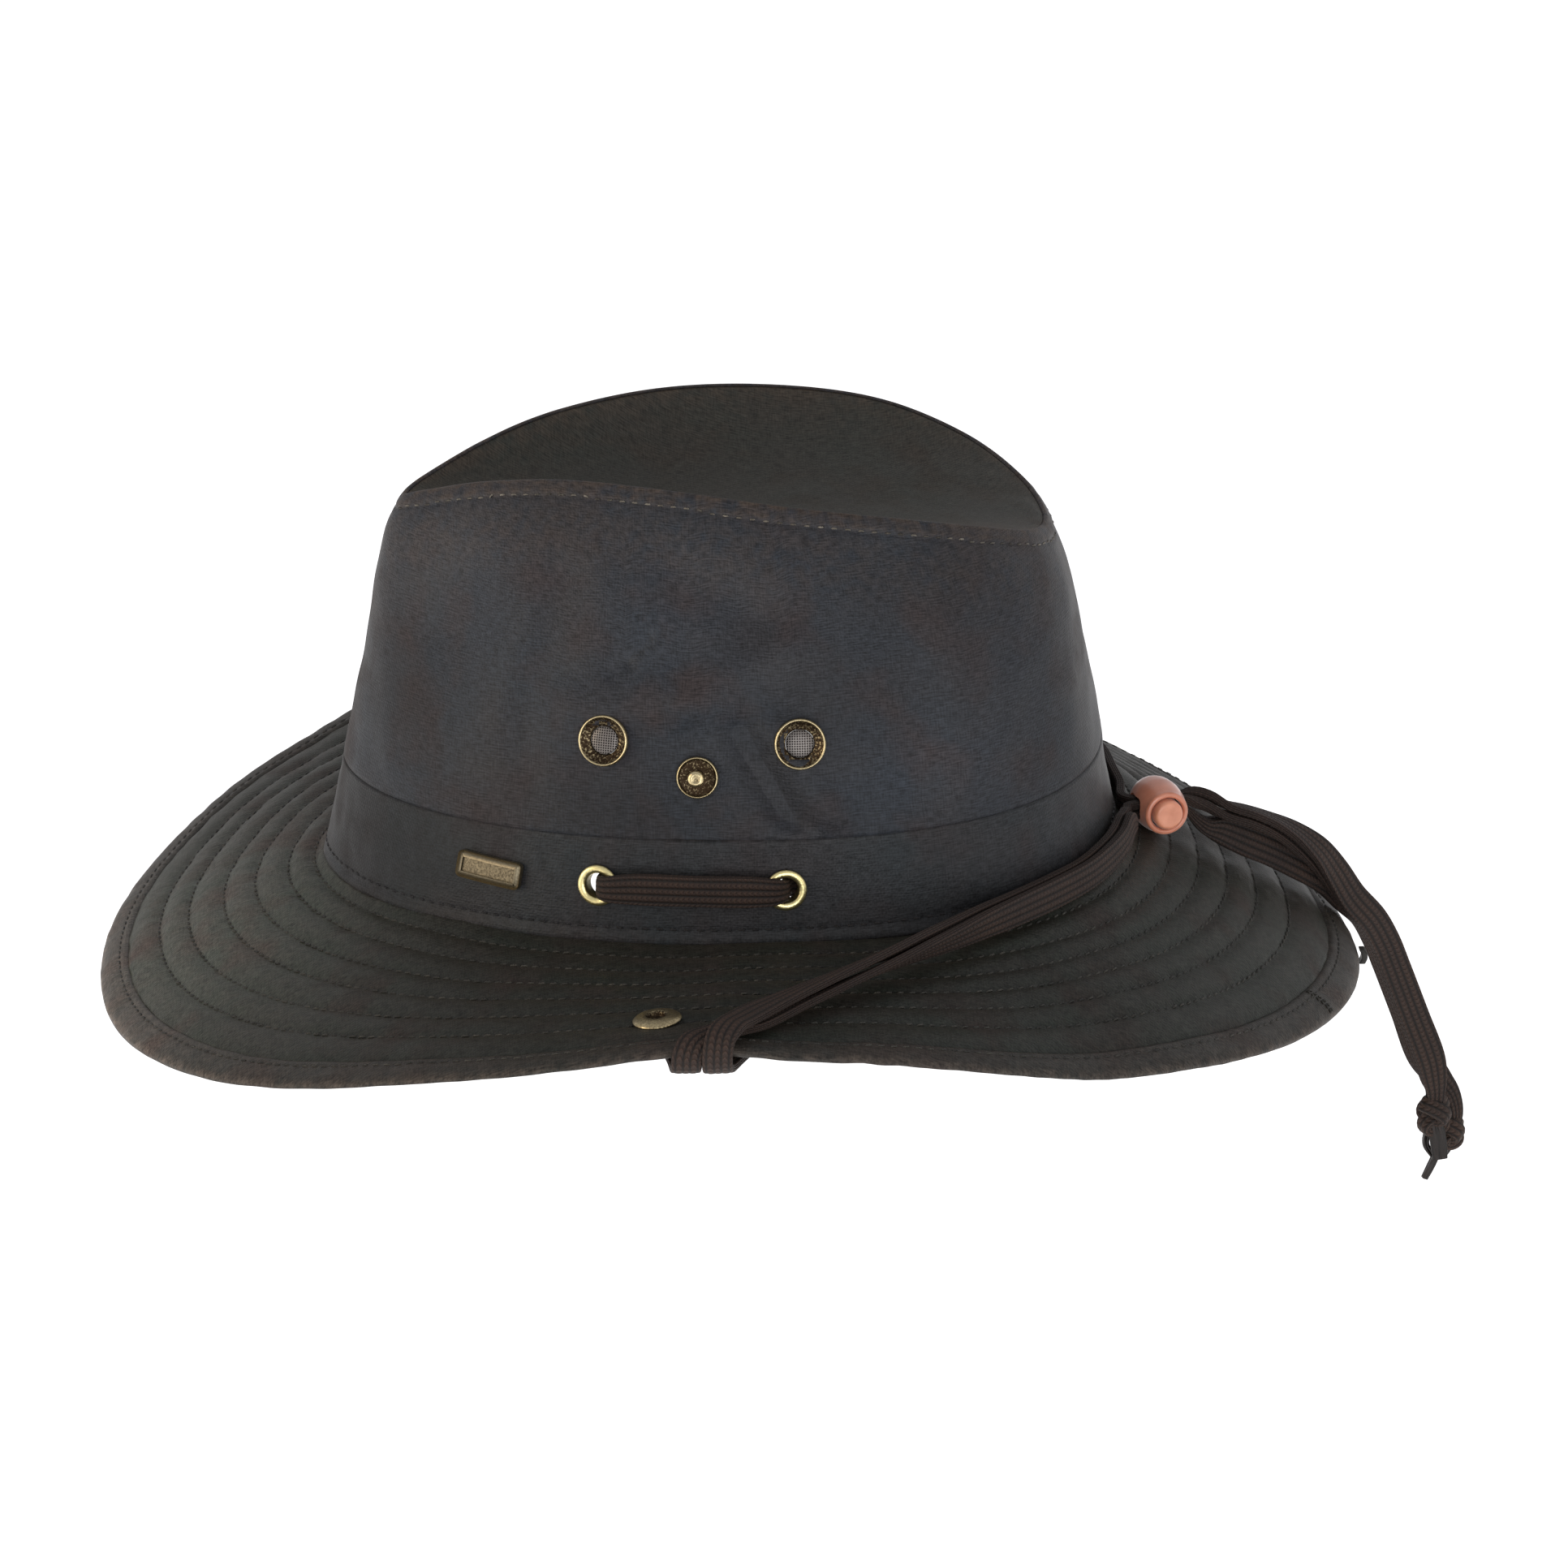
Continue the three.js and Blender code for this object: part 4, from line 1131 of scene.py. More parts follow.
def sew(name: str, rows: Sequence[tuple[Points, Points]], material: Material) -> None:
    """Joins rows of stitches in one piece and ties it to the hat.

    Args:
        name: The piece's name.
        rows: The points and faces of each row.
        material: The thread's material.
    """
    starts = np.cumsum([0] + [len(points) for points, _ in rows])
    faces = np.concatenate([quads + start for (_, quads), start in zip(rows, starts)])
    hand_over(make_piece(name, np.concatenate([points for points, _ in rows]), faces), material)


# Metal places on the cloth


@dataclass(frozen=True)
class Spot:
    """A place on a side of the hat.

    Args:
        x: How far back it is.
        z: Its height.
    """

    x: float
    z: float


VENTS = {"front": Spot(-30.5, 49.0), "back": Spot(17.4, 50.0)}
GROMMETS = {"front": Spot(-32.5, 13.7), "back": Spot(13.6, 14.3)}
STUD = Spot(-7.8, 41.5)


def on_wall(surface: Surface, spot: Spot, side: Side) -> Matrix:
    """Gives the frame of a fitting on a wall."""
    return seat(surface, *settle(surface, spot.x, spot.z, side))


def cut_round(points: Points, surface: Surface, spots: dict[str, Spot], sides: Sequence[Side], radius: float,
              is_ring: bool) -> Points:
    """Finds the cells of a wall that round holes take out.

    Args:
        points: The wall's outer points.
        surface: The surface that it follows.
        spots: The holes' places.
        sides: The sides that have them.
        radius: The holes' radius.
        is_ring: Whether the wall's last column meets its first.
    """
    ring = looped(points) if is_ring else points
    middles = (ring[:-1, :-1] + ring[1:, :-1] + ring[:-1, 1:] + ring[1:, 1:]) / 4
    taken = np.zeros(middles.shape[:2], bool)
    for side in sides:
        for spot in spots.values():
            centre = np.array(on_wall(surface, spot, side).translation)
            taken |= np.linalg.norm(middles - centre, axis=-1) < radius
    return taken


# The crown


@dataclass
class Crown:
    """The crown: two side panels seamed at the front and back, a dented top and a band below.

    Args:
        columns: Columns of points in a side panel.
        rows: Rows of points in a side panel.
        thickness: The thickness of the layered cloth.
        crest_thickness: The thickness of the turned seam along the ridge.
        crease_share: How strong the folds are.
        stitch_below: How far the topstitching lies below the ridge.
        foot_stitch: How far the band's stitching lies above its foot.
        seam_half_gap: Half the width of the groove between the panels.
        tip_inset: How far the seam draws the top in from the ridge.
        vent_hole: The radius of a vent's hole.
        lace_hole: The radius of a grommet's hole.
        panel_painted_lights: The painted light and shade on the side panels, where they are drawn paler or
            darker.
        band_painted_lights: The painted light and shade on the band.
        ridge_stitches: The topstitching under the ridge.
        band_stitches: The stitching along the band's foot.
    """

    columns: int = 250
    rows: int = 88
    thickness: float = 2.0
    crest_thickness: float = 0.75
    crease_share: float = 2.2
    stitch_below: float = 4.6
    foot_stitch: float = 3.6
    seam_half_gap: float = 0.12
    tip_inset: float = 0.5
    vent_hole: float = 4.3
    lace_hole: float = 4.0
    # Painted light and shade: paler patches where light falls on the folds up high, darker ones in their
    # shade lower down and towards the back's edge.
    panel_painted_lights: tuple[Fade, ...] = (
        Fade((-72, 82), (22, 24), 0.34), Fade((-16, 82), (34, 18), 0.3), Fade((50, 41), (17, 11), 0.32),
        Fade((-28, 31), (24, 9), -0.26), Fade((-84, 46), (14, 14), -0.22), Fade((20, 60), (14, 10), -0.18),
        Fade((93, 38), (13, 34), -0.36),
    )
    # Painted shade on the front of the band, and a little painted light behind its middle.
    band_painted_lights: tuple[Fade, ...] = (Fade((-84, 12), (22, 20), -0.46), Fade((32, 12), (26, 12), 0.12))
    ridge_stitches: StitchRow = StitchRow(3.4, 1.7, 0.5, 0.05, 0.3)
    band_stitches: StitchRow = StitchRow(3.4, 2.3, 0.6, -0.08, 0.3)
    panel_cloth: WaxedCotton = WaxedCotton(
        "waxed cotton, side panels", 0.56, body="#2b2b2e", cool="#262a30", warm="#302b2c", worn="#3e352f")
    # The same waxed cotton as the side panels, drawn about a quarter paler as painted light from above.
    tip_cloth_toplit: WaxedCotton = WaxedCotton(
        "waxed cotton, crown top", 0.6, body="#302f2b", cool="#2e302c", warm="#34302b", worn="#413931")
    band_cloth: WaxedCotton = WaxedCotton(
        "waxed cotton, band", 0.56, body="#29282a", cool="#25292c", warm="#2c2829", worn="#39322d")
    pale_thread: SewingThread = SewingThread("waxed thread, pale", 0.6, body="#8a8378", dirt="#3f3a34")
    dark_thread: SewingThread = SewingThread("waxed thread, dark", 0.6, body="#1b1a1c", dirt="#29272a")

    def build(self) -> None:
        """Makes the crown's pieces."""
        panel = self.panel_cloth.material()
        pale, dark = self.pale_thread.material(), self.dark_thread.material()
        for side in Side:
            self._panel(side, panel, pale)
        self._tip()
        self._band(dark)

    def _depth(self, share: Points) -> Points:
        """Gives the cloth's thickness, from the turned seam (0) to the layered cloth (1)."""
        return self.crest_thickness + (self.thickness - self.crest_thickness) * smooth_step(share)

    def _panel(self, side: Side, material: Material, thread: Material) -> None:
        """Makes a side panel and its topstitching."""
        angles = even_angles(BAND_TOP.at, 0.0, math.pi, self.columns) * side.value
        ups = np.concatenate((np.linspace(-0.012, 0.04, 8), np.linspace(0.04, 0.9, self.rows - 26)[1:],
                              np.linspace(0.9, 1.0, 20)[1:]))
        angle, up = np.meshgrid(angles, ups, indexing="ij")
        base = self._kept(FORM.side_wall(angle, up), side)
        normal = outward(FORM.side_wall, np.where(np.abs(angle) < 1e-3, side.value * 1e-3, angle), up)
        height = distance_along(base)
        below = height[:, -1:] - height
        rise = self._panel_relief(base, below, height)
        outer = self._kept(base + rise[..., None] * normal, side)
        inner = self._kept(base - self._depth((below - 1) / 6)[..., None] * normal, side)
        wear = 0.95 * bell(below, 1.8) + 0.5 * bell(below - 3.4, 1.0) + 0.3 * bell(below - 12, 12)
        holes = cut_round(base, FORM.side_wall, VENTS, [side], self.vent_hole, False)
        wall = Wall(outer, inner, False, np.clip(wear, 0, 1), tone_shift(self.panel_painted_lights, base), holes)
        hand_over(wall.build(f"side_panel_{side.word}"), material, [f"crown_side_{side.word}"])
        row = np.argmin(np.abs(below - self.stitch_below), axis=1)
        picked = (np.arange(len(angles))[4:-4], row[4:-4])
        stitches = self.ridge_stitches.shape(outer[picked] + 0.05 * normal[picked], normal[picked])
        sew(f"ridge_topstitch_{side.word}", [stitches], thread)

    def _panel_relief(self, base: Points, below: Points, height: Points) -> Points:
        """Gives how far a side panel stands out from its plain form: its seams, folds and wrinkles."""
        from_stitch = below - self.stitch_below
        rise = 0.35 * smooth_step((0.6 - from_stitch) / 1.2) - 0.3 * bell(from_stitch, 0.7)
        rise -= 0.45 * lip(below, 0.9) + 0.5 * lip(height, 1.2)
        soft = smooth_step(below / 10) * smooth_step(height / 6)
        for crease in FORM.creases:
            rise += soft * self.crease_share * crease.rise(base[..., 0], base[..., 2])
        rise += soft * (0.45 * Ripples(55, 3).at(base) + 0.16 * Ripples(16, 4).at(base))
        rise += 0.08 * bell(from_stitch, 2.5) * Ripples(5, 5).at(base)
        return rise

    def _kept(self, points: Points, side: Side) -> Points:
        """Keeps points on their own side of the hat."""
        kept = points.copy()
        kept[..., 1] = side.value * np.maximum(side.value * kept[..., 1], self.seam_half_gap)
        return kept

    def _tip(self) -> None:
        """Makes the dented top."""
        span = np.linspace(-1, 1, 101)
        turn, across = np.meshgrid(np.linspace(0, math.pi, 190), np.sign(span) * np.abs(span) ** 0.85,
                                   indexing="ij")
        top = FORM.tip(turn, across, self.tip_inset)
        edge = FORM.tip(turn, np.ones_like(across), self.tip_inset)[..., 1] * (1 - np.abs(across))
        away = np.minimum(edge, np.minimum(turn, math.pi - turn) * FORM.ridge_reach)
        top[..., 2] -= 0.4 * lip(away, 1.2)
        top[..., 2] += smooth_step(away / 14) * (0.5 * Ripples(60, 8).at(top) + 0.2 * Ripples(18, 9).at(top))
        lower = top - self._depth(away / 4)[..., None] * np.array((0, 0, 1))
        wear = 0.5 * bell(away, 3) + 0.3 * bell(away, 16)
        wall = Wall(top, lower, False, np.clip(wear, 0, 1))
        hand_over(wall.build("crown_top"), self.tip_cloth_toplit.material(), ["crown_tip"])

    def _band(self, thread: Material) -> None:
        """Makes the band and the stitching along its foot."""
        angles = even_angles(HEAD_OPENING.at, 0.0, TURN, 601)[:-1]
        ups = np.concatenate((np.linspace(0.0, 0.06, 7), np.linspace(0.06, 0.93, 30)[1:],
                              np.linspace(0.93, 0.975, 6)[1:]))
        angle, up = np.meshgrid(angles, ups, indexing="ij")
        base, normal = FORM.band_wall(angle, up), outward(FORM.band_wall, angle, up)
        height = distance_along(base)
        below = height[:, -1:] - height
        rise = (0.25 * Ripples(40, 12).at(base) + 0.1 * Ripples(9, 13).at(base)) * smooth_step(below / 5)
        rise -= 0.3 * lip(below, 0.7) + 0.4 * lip(height, 0.8) + 0.3 * bell(height - self.foot_stitch, 0.8)
        rise += 0.25 * bell(height - 1.6, 1.4)
        outer = base + rise[..., None] * normal
        inner = base - self.thickness * unit(normal * np.array((1, 1, 0)))
        wear = 0.15 * bell(height - 1.0, 1.2) + 0.1 * bell(below, 1.3)
        holes = cut_round(base, FORM.band_wall, GROMMETS, list(Side), self.lace_hole, True)
        wall = Wall(outer, inner, True, np.clip(wear, 0, 1), tone_shift(self.band_painted_lights, base), holes)
        hand_over(wall.build("crown_band_cloth"), self.band_cloth.material(), ["crown_band"])
        row = int(np.argmin(np.abs(height[0] - self.foot_stitch)))
        stitches = self.band_stitches.shape(looped(outer[:, row]), looped(normal[:, row]), True)
        sew("band_topstitch", [stitches], thread)


# The brim


@dataclass
class Brim:
    """The brim: a quilted body, a folded facing round the rim and its short end at the back.

    Args:
        thickness: The thickness of the padded layers.
        facing_from: Where the facing starts, as a share of the brim's width.
        width: The brim's mean width along the cloth.
        quilt_front: Where the quilting rows lie at the front, as shares of the brim's width.
        quilt_side: Where they lie at the sides and back.
        loft: How high the cloth stands between two rows.
        sunk: How far a row's groove lies below the plain form.
        seam_row: How far out from its start the facing's stitching lies.
        join_angle: Where the facing's ends meet.
        painted_lights: The painted light and shade on the brim, paler or darker, by degrees round and shares
            out.
        quilt_stitches: The quilting rows' stitches.
        facing_stitches: The stitches along the facing.
        join_stitches: The two close rows across the facing's join, one leaning each way.
    """

    thickness: float = 2.6
    facing_from: float = 1 - 8.5 / 67
    width: float = 67.0
    quilt_front: tuple[float, ...] = (-0.08, 0.045, 0.16, 0.307, 0.445, 0.6, 0.73)
    quilt_side: tuple[float, ...] = (-0.02, 0.1, 0.225, 0.34, 0.455, 0.575, 0.71)
    loft: float = 0.85
    sunk: float = 0.45
    seam_row: float = 2.2
    join_angle: float = TURN - 0.36
    # Painted light and shade: the front is drawn much paler where the side light falls, and a few stretches
    # further round paler or darker.
    painted_lights: tuple[Fade, ...] = (
        Fade((186, 0.6), (28, 0.75), 2.4), Fade((250, 0.3), (34, 0.4), -0.2),
        Fade((305, 0.5), (22, 0.3), -0.12), Fade((345, 0.7), (16, 0.6), 0.15),
    )
    quilt_stitches: StitchRow = StitchRow(3.0, 2.3, 0.6, 0.22, 0.25)
    facing_stitches: StitchRow = StitchRow(3.2, 2.4, 0.55, 0.12, 0.3)
    join_stitches: tuple[tuple[float, StitchRow], ...] = (
        (-1.0, StitchRow(1.5, 1.5, 0.5, -0.6, 0.2)), (0.4, StitchRow(1.5, 1.5, 0.5, 0.6, 0.2)))
    cloth: WaxedCotton = WaxedCotton("waxed cotton, brim", 0.56, body="#252622", cool="#212520",
                                     warm="#2a2421", worn="#35312d", lay=WeaveLay.PLAN)
    edge_cloth: WaxedCotton = WaxedCotton("waxed cotton, rim facing", 0.56, body="#2b2926", cool="#282825",
                                          warm="#322b28", worn="#443d37", lay=WeaveLay.PLAN)
    thread: SewingThread = SewingThread("waxed thread, quilting", 0.55, body="#4a4740", dirt="#2a2925")

    def build(self) -> None:
        """Makes the brim's pieces."""
        thread = self.thread.material()
        angles = even_angles(lambda a: FORM.brim_top(a, np.full_like(a, 0.6)), 0.0, TURN, 541)[:-1]
        self._body(angles, thread)
        edge = self.edge_cloth.material()
        self._facing(angles, edge, thread)
        self._tab(edge)

    def _painted_light_at(self, angle: Points, out: Points) -> Points:
        """Gives the brim's painted light and shade at some angles and distances out."""
        degrees = np.degrees(np.mod(angle, TURN))
        return sum(painted_light.over(degrees, out) for painted_light in self.painted_lights)

    def _quilt(self, angle: Points) -> list[Points]:
        """Gives the quilting rows' places at some angles, the facing's seam last."""
        ahead = np.clip(-np.cos(angle), 0, 1) ** 1.5
        rows = [side + (front - side) * ahead for front, side in zip(self.quilt_front, self.quilt_side)]
        return [*rows, np.full_like(angle, self.facing_from)]

    def _pillow(self, angle: Points, out: Points) -> Points:
        """Gives how high the quilted cloth stands, 0 in the rows' grooves."""
        rise = np.zeros_like(out)
        rows = self._quilt(angle)
        for low, high in zip(rows[:-1], rows[1:]):
            share = np.clip((out - low) / (high - low), 0, 1)
            inside = (out >= low) & (out <= high)
            rise = np.where(inside, self.loft * (1 - np.abs(2 * share - 1) ** 2.3), rise)
        return rise

    @staticmethod
    def _wave(points: Points) -> Points:
        """Gives the broad waves that run through the whole brim."""
        return 0.28 * Ripples(46, 22).at(points)

    def _body(self, angles: Points, thread: Material) -> None:
        """Makes the quilted body and its stitching."""
        angle, out = np.meshgrid(angles, np.linspace(-0.035, self.facing_from, 84), indexing="ij")
        base, up = FORM.brim_top(angle, out), brim_up(angle, out)
        pillow = self._pillow(angle, out)
        wrinkle = 0.09 * Ripples(7, 21).at(base) * (1.4 - pillow) + self._wave(base)
        wrinkle = wrinkle + 0.35 * np.clip(1 - out / 0.02, 0, 1.75) * 0.7
        top = base + (pillow - self.sunk + wrinkle)[..., None] * up
        under = base - (self.thickness - self.sunk + 0.8 * pillow - wrinkle)[..., None] * up
        wear = 0.35 * smooth_step(pillow / self.loft - 0.55) + 0.1
        wall = Wall(top, under, True, wear, self._painted_light_at(angle, out))
        hand_over(wall.build("brim_quilted"), self.cloth.material(), ["brim"])
        ring = np.append(angles, angles[0] + TURN)
        rows = []
        for place in self._quilt(ring)[1:-1]:
            line, facing = FORM.brim_top(ring, place), brim_up(ring, place)
            line = line + (self._wave(line) - 0.35)[:, None] * facing
            rows.append(self.quilt_stitches.shape(line, facing, True))
        sew("brim_quilting_thread", rows, thread)

    def _facing(self, angles: Points, material: Material, thread: Material) -> None:
        """Makes the facing and the stitching along its seam and across its join."""
        start = self.facing_from + 0.15 / self.width
        angle, out = np.meshgrid(angles, start + (1 - start) * np.linspace(0, 1, 15) ** 0.9, indexing="ij")
        base, up = FORM.brim_top(angle, out), brim_up(angle, out)
        far = (out - self.facing_from) * self.width
        half = 1.55 - 1.0 * np.clip((far - 4.5) / 4.0, 0, 1) ** 2.2
        half -= 0.55 * lip(far, 1.4) + 0.18 * bell(far - self.seam_row, 0.6)
        ripple = 0.1 * Ripples(8, 25).at(base) + self._wave(base)
        middle = base + (ripple - self.thickness / 2)[..., None] * up
        top, under = middle + half[..., None] * up, middle - half[..., None] * up
        wear = np.clip(0.25 + 0.7 * smooth_step((far - 6.5) / 2), 0, 1)
        wall = Wall(top, under, True, wear, self._painted_light_at(angle, out), edge_round=0.42)
        hand_over(wall.build("rim_facing"), material, ["brim_edge"])
        row = int(np.argmin(np.abs(far[0] - self.seam_row)))
        rows = [self.facing_stitches.shape(looped(top[:, row]), looped(up[:, row]), True)]
        column = int(np.nonzero(np.abs(angles - self.join_angle) < 0.008)[0][0])
        across = unit(top[column] - top[column - 1])
        for shift, stitches in self.join_stitches:
            rows.append(stitches.shape(top[column] + shift * across + 0.1 * up[column], up[column]))
        sew("rim_facing_thread", rows, thread)

    def _tab(self, material: Material) -> None:
        """Makes the facing's folded end, which stands up at the middle of the back."""
        low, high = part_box("brim_back_tab")
        centre, size = (low + high) / 2, high - low
        tab = add_box("rim_tab", centre, size)
        with editing(tab):
            bpy.ops.mesh.subdivide(number_cuts=3)
        for vertex in tab.data.vertices:
            rise = (vertex.co.z - low.z) / size.z
            vertex.co.x -= 0.9 * MM * (2 * rise - 1) ** 2
            vertex.co.y *= 1 - 0.2 * rise
            if vertex.co.x < centre.x:
                vertex.co.x += 0.4 * MM
        modifier = tab.modifiers.new("soft edges", "SUBSURF")
        modifier.levels = modifier.render_levels = 2
        apply_modifiers(tab)
        tab.data.shade_smooth()
        hand_over(tab, material, ["brim_back_tab"])


# Turned parts


@dataclass(frozen=True)
class Turned:
    """A part turned round an axis from a profile whose corners are rounded.

    Args:
        rows: The profile's corners: radius, height and how dark the patina is.
        round_from: How far from a corner its rounding starts.
        steps: How many steps the turn has.
        is_closed: Whether the last corner meets the first.
    """

    rows: tuple[Place, ...]
    round_from: float
    steps: int
    is_closed: bool = False

    def build(self, name: str) -> Piece:
        """Makes the part in millimetres round the Z axis, with its patina and a plan UV map."""
        rows = self._rounded()
        mesh = bpy.data.meshes.new(name)
        edges = [(k, k + 1) for k in range(len(rows) - 1)] + ([(len(rows) - 1, 0)] if self.is_closed else [])
        mesh.from_pydata([(radius, 0.0, height) for radius, height, _ in rows], edges, [])
        mesh.attributes.new(WEAR, "FLOAT", "POINT").data.foreach_set("value", [dark for _, _, dark in rows])
        piece = bpy.data.objects.new(name, mesh)
        bpy.context.scene.collection.objects.link(piece)
        with editing(piece):
            bpy.ops.mesh.spin(steps=self.steps, angle=TURN, center=(0, 0, 0), axis=(0, 0, 1))
            bpy.ops.mesh.select_all(action="SELECT")
            bpy.ops.mesh.remove_doubles(threshold=0.01)
            bpy.ops.mesh.normals_make_consistent(inside=False)
        layer = mesh.uv_layers.new(name=CLOTH_MAP)
        for loop in mesh.loops:
            layer.data[loop.index].uv = mesh.vertices[loop.vertex_index].co.xy
        mesh.shade_smooth()
        return piece

    def _rounded(self) -> list[Place]:
        """Gives the profile with three points in place of each corner."""
        corners = [np.array(row) for row in self.rows]
        made = []
        for number in range(len(corners))[slice(None) if self.is_closed else slice(1, -1)]:
            here = corners[number]
            ways = [other - here for other in (corners[number - 1], corners[(number + 1) % len(corners)])]
            first, last = (here + way * min(0.45, self.round_from / np.linalg.norm(way[:2])) for way in ways)
            made += [(1 - share) ** 2 * first + 2 * share * (1 - share) * here + share ** 2 * last
                     for share in (0.0, 0.5, 1.0)]
        if not self.is_closed:
            made = [corners[0], *made, corners[-1]]
        return [tuple(float(v) for v in row) for row in made]


def put(piece: Piece, frame: Matrix) -> Piece:
    """Moves a piece made in millimetres to its place, in metres, and leaves the object at the origin."""
    piece.data.transform(Matrix.Scale(MM, 4) @ frame)
    piece.data.update()
    return piece


@dataclass
class Fittings:
    """The plated metal on the cloth: vents, grommets, snap studs, snaps and a plain plate.

    Args:
        knurls: How many ridges a vent's or stud's funnel has.
        knurl_height: How far they stand out.
        vent_funnel: The inner and outer radius of a vent's funnel.
        stud_funnel: The same of a stud's.
        plate_from: Where the plate starts along the band.
        plate_to: Where it ends.
        plate_z: Its height.
        plate_size: Its length along the band, its height and its thickness.
        plate_corner: The rounding of its edges.
        plate_off: How far its back stands off the band.
        border: The widths of the slope up to the border, of the border and of the slope down.
        border_rise: How far the border stands above the plate's face.
        border_drop: How far the sunk field lies below the border.
        snap_angle: Where the snaps lie round the brim.
        snap_out: How far out they lie, as a share of its width.
    """

    knurls: int = 26
    knurl_height: float = 0.11
    vent_funnel: tuple[float, float] = (3.9, 5.2)
    stud_funnel: tuple[float, float] = (2.7, 4.0)
    plate_from: float = -66.5
    plate_to: float = -51.2
    plate_z: float = 12.5
    plate_size: Place = (18.0, 6.8, 1.2)
    plate_corner: float = 1.3
    plate_off: float = 0.5
    border: Place = (0.25, 0.55, 0.18)
    border_rise: float = 0.16
    border_drop: float = 0.42
    snap_angle: float = math.radians(263.7)
    snap_out: float = 0.7
    brass: AntiqueBrass = AntiqueBrass("antique brass", 0.26)
    dull_brass: AntiqueBrass = AntiqueBrass("antique brass, dull", 0.42, bright="#8d836d", dark="#3b352c")
    ring_brass: AntiqueBrass = AntiqueBrass("buffed brass", 0.3, bright="#f2e3a6", dark="#5a4c30")
    gauze: WireGauze = WireGauze("wire gauze", 0.42)
    vent: Turned = Turned((
        (3.6, -3.3, 0.8), (3.6, 0.6, 0.9), (4.5, 1.0, 0.8), (5.65, 1.75, 0.85), (5.9, 2.2, 0.0),
        (6.2, 2.2, 0.0), (6.5, 1.5, 0.3), (6.4, 0.85, 0.9), (4.45, 0.85, 1.0), (4.45, -2.85, 1.0),
        (5.55, -2.9, 0.3), (5.75, -3.15, 0.1), (5.5, -3.4, 0.2)), 0.28, 104, True)
    disc: Turned = Turned((
        (0, -0.2, 0.2), (3.55, -0.2, 0.2), (3.55, 0.45, 0.2), (2.2, 0.75, 0.1), (0, 0.88, 0.0)), 0.3, 32)
    grommet: Turned = Turned((
        (3.1, -3.1, 0.6), (3.1, 0.9, 0.1), (3.35, 1.4, 0.0), (4.2, 1.7, 0.0), (5.1, 1.4, 0.0),
        (5.3, 0.6, 0.3), (3.85, 0.55, 1.0), (3.85, -2.55, 1.0), (4.7, -2.6, 0.4), (4.75, -3.1, 0.2)),
        0.35, 56, True)
    stud: Turned = Turned((
        (0, 0.55, 1.0), (5.2, 0.55, 0.6), (5.3, 1.1, 0.2), (5.0, 1.7, 0.0), (4.75, 1.65, 0.0),
        (4.5, 1.1, 1.0), (2.6, 0.95, 1.0), (1.75, 1.05, 0.9), (1.7, 3.1, 0.5), (2.15, 3.8, 0.1),
        (1.95, 4.7, 0.0), (1.2, 5.05, 0.0), (0.7, 4.85, 0.4), (0, 4.8, 0.5)), 0.25, 104)
    snap: Turned = Turned((
        (0, 0.35, 1.0), (6.0, 0.35, 0.7), (6.1, 0.8, 0.3), (5.3, 1.55, 0.3), (3.4, 2.0, 0.35),
        (2.6, 1.95, 0.5), (2.1, 1.7, 0.9), (2.0, 0.75, 1.0), (0, 0.7, 1.0)), 0.3, 64)

    def build(self) -> None:
        """Makes the fittings on both sides."""
        brass, gauze, ring_brass = self.brass.material(), self.gauze.material(), self.ring_brass.material()
        for side in Side:
            word = side.word
            for place, spot in VENTS.items():
                frame = on_wall(FORM.side_wall, spot, side)
                rim = self._knurled(self.vent.build(f"vent_{word}_{place}"), *self.vent_funnel)
                hand_over(put(rim, frame), brass, [f"vent_rim_{word}_{place}"])
                disc = self.disc.build(f"vent_gauze_{word}_{place}")
                hand_over(put(disc, frame), gauze, [f"vent_mesh_{word}_{place}"])
            for place, spot in GROMMETS.items():
                ring = put(self.grommet.build(f"grommet_{word}_{place}"), on_wall(FORM.band_wall, spot, side))
                hand_over(ring, ring_brass, [f"cord_grommet_{word}_{place}"])
            post = self._knurled(self.stud.build(f"stud_{word}"), *self.stud_funnel)
            hand_over(put(post, on_wall(FORM.side_wall, STUD, side)), brass, [f"snap_stud_{word}"])
            frame = seat(FORM.brim_top, -side.value * self.snap_angle, self.snap_out, -1)
            hand_over(put(self.snap.build(f"snap_{word}"), frame), brass, [f"brim_snap_{word}"])
        self._plate(self.dull_brass.material())

    def _knurled(self, piece: Piece, inner: float, outer: float) -> Piece:
        """Presses fine radial ridges into a turned piece's funnel, between two radii."""
        for vertex in piece.data.vertices:
            if inner < vertex.co.xy.length < outer and vertex.co.z > 0.8:
                angle = math.atan2(vertex.co.y, vertex.co.x)
                vertex.co.z += self.knurl_height * math.cos(self.knurls * angle)
        return piece

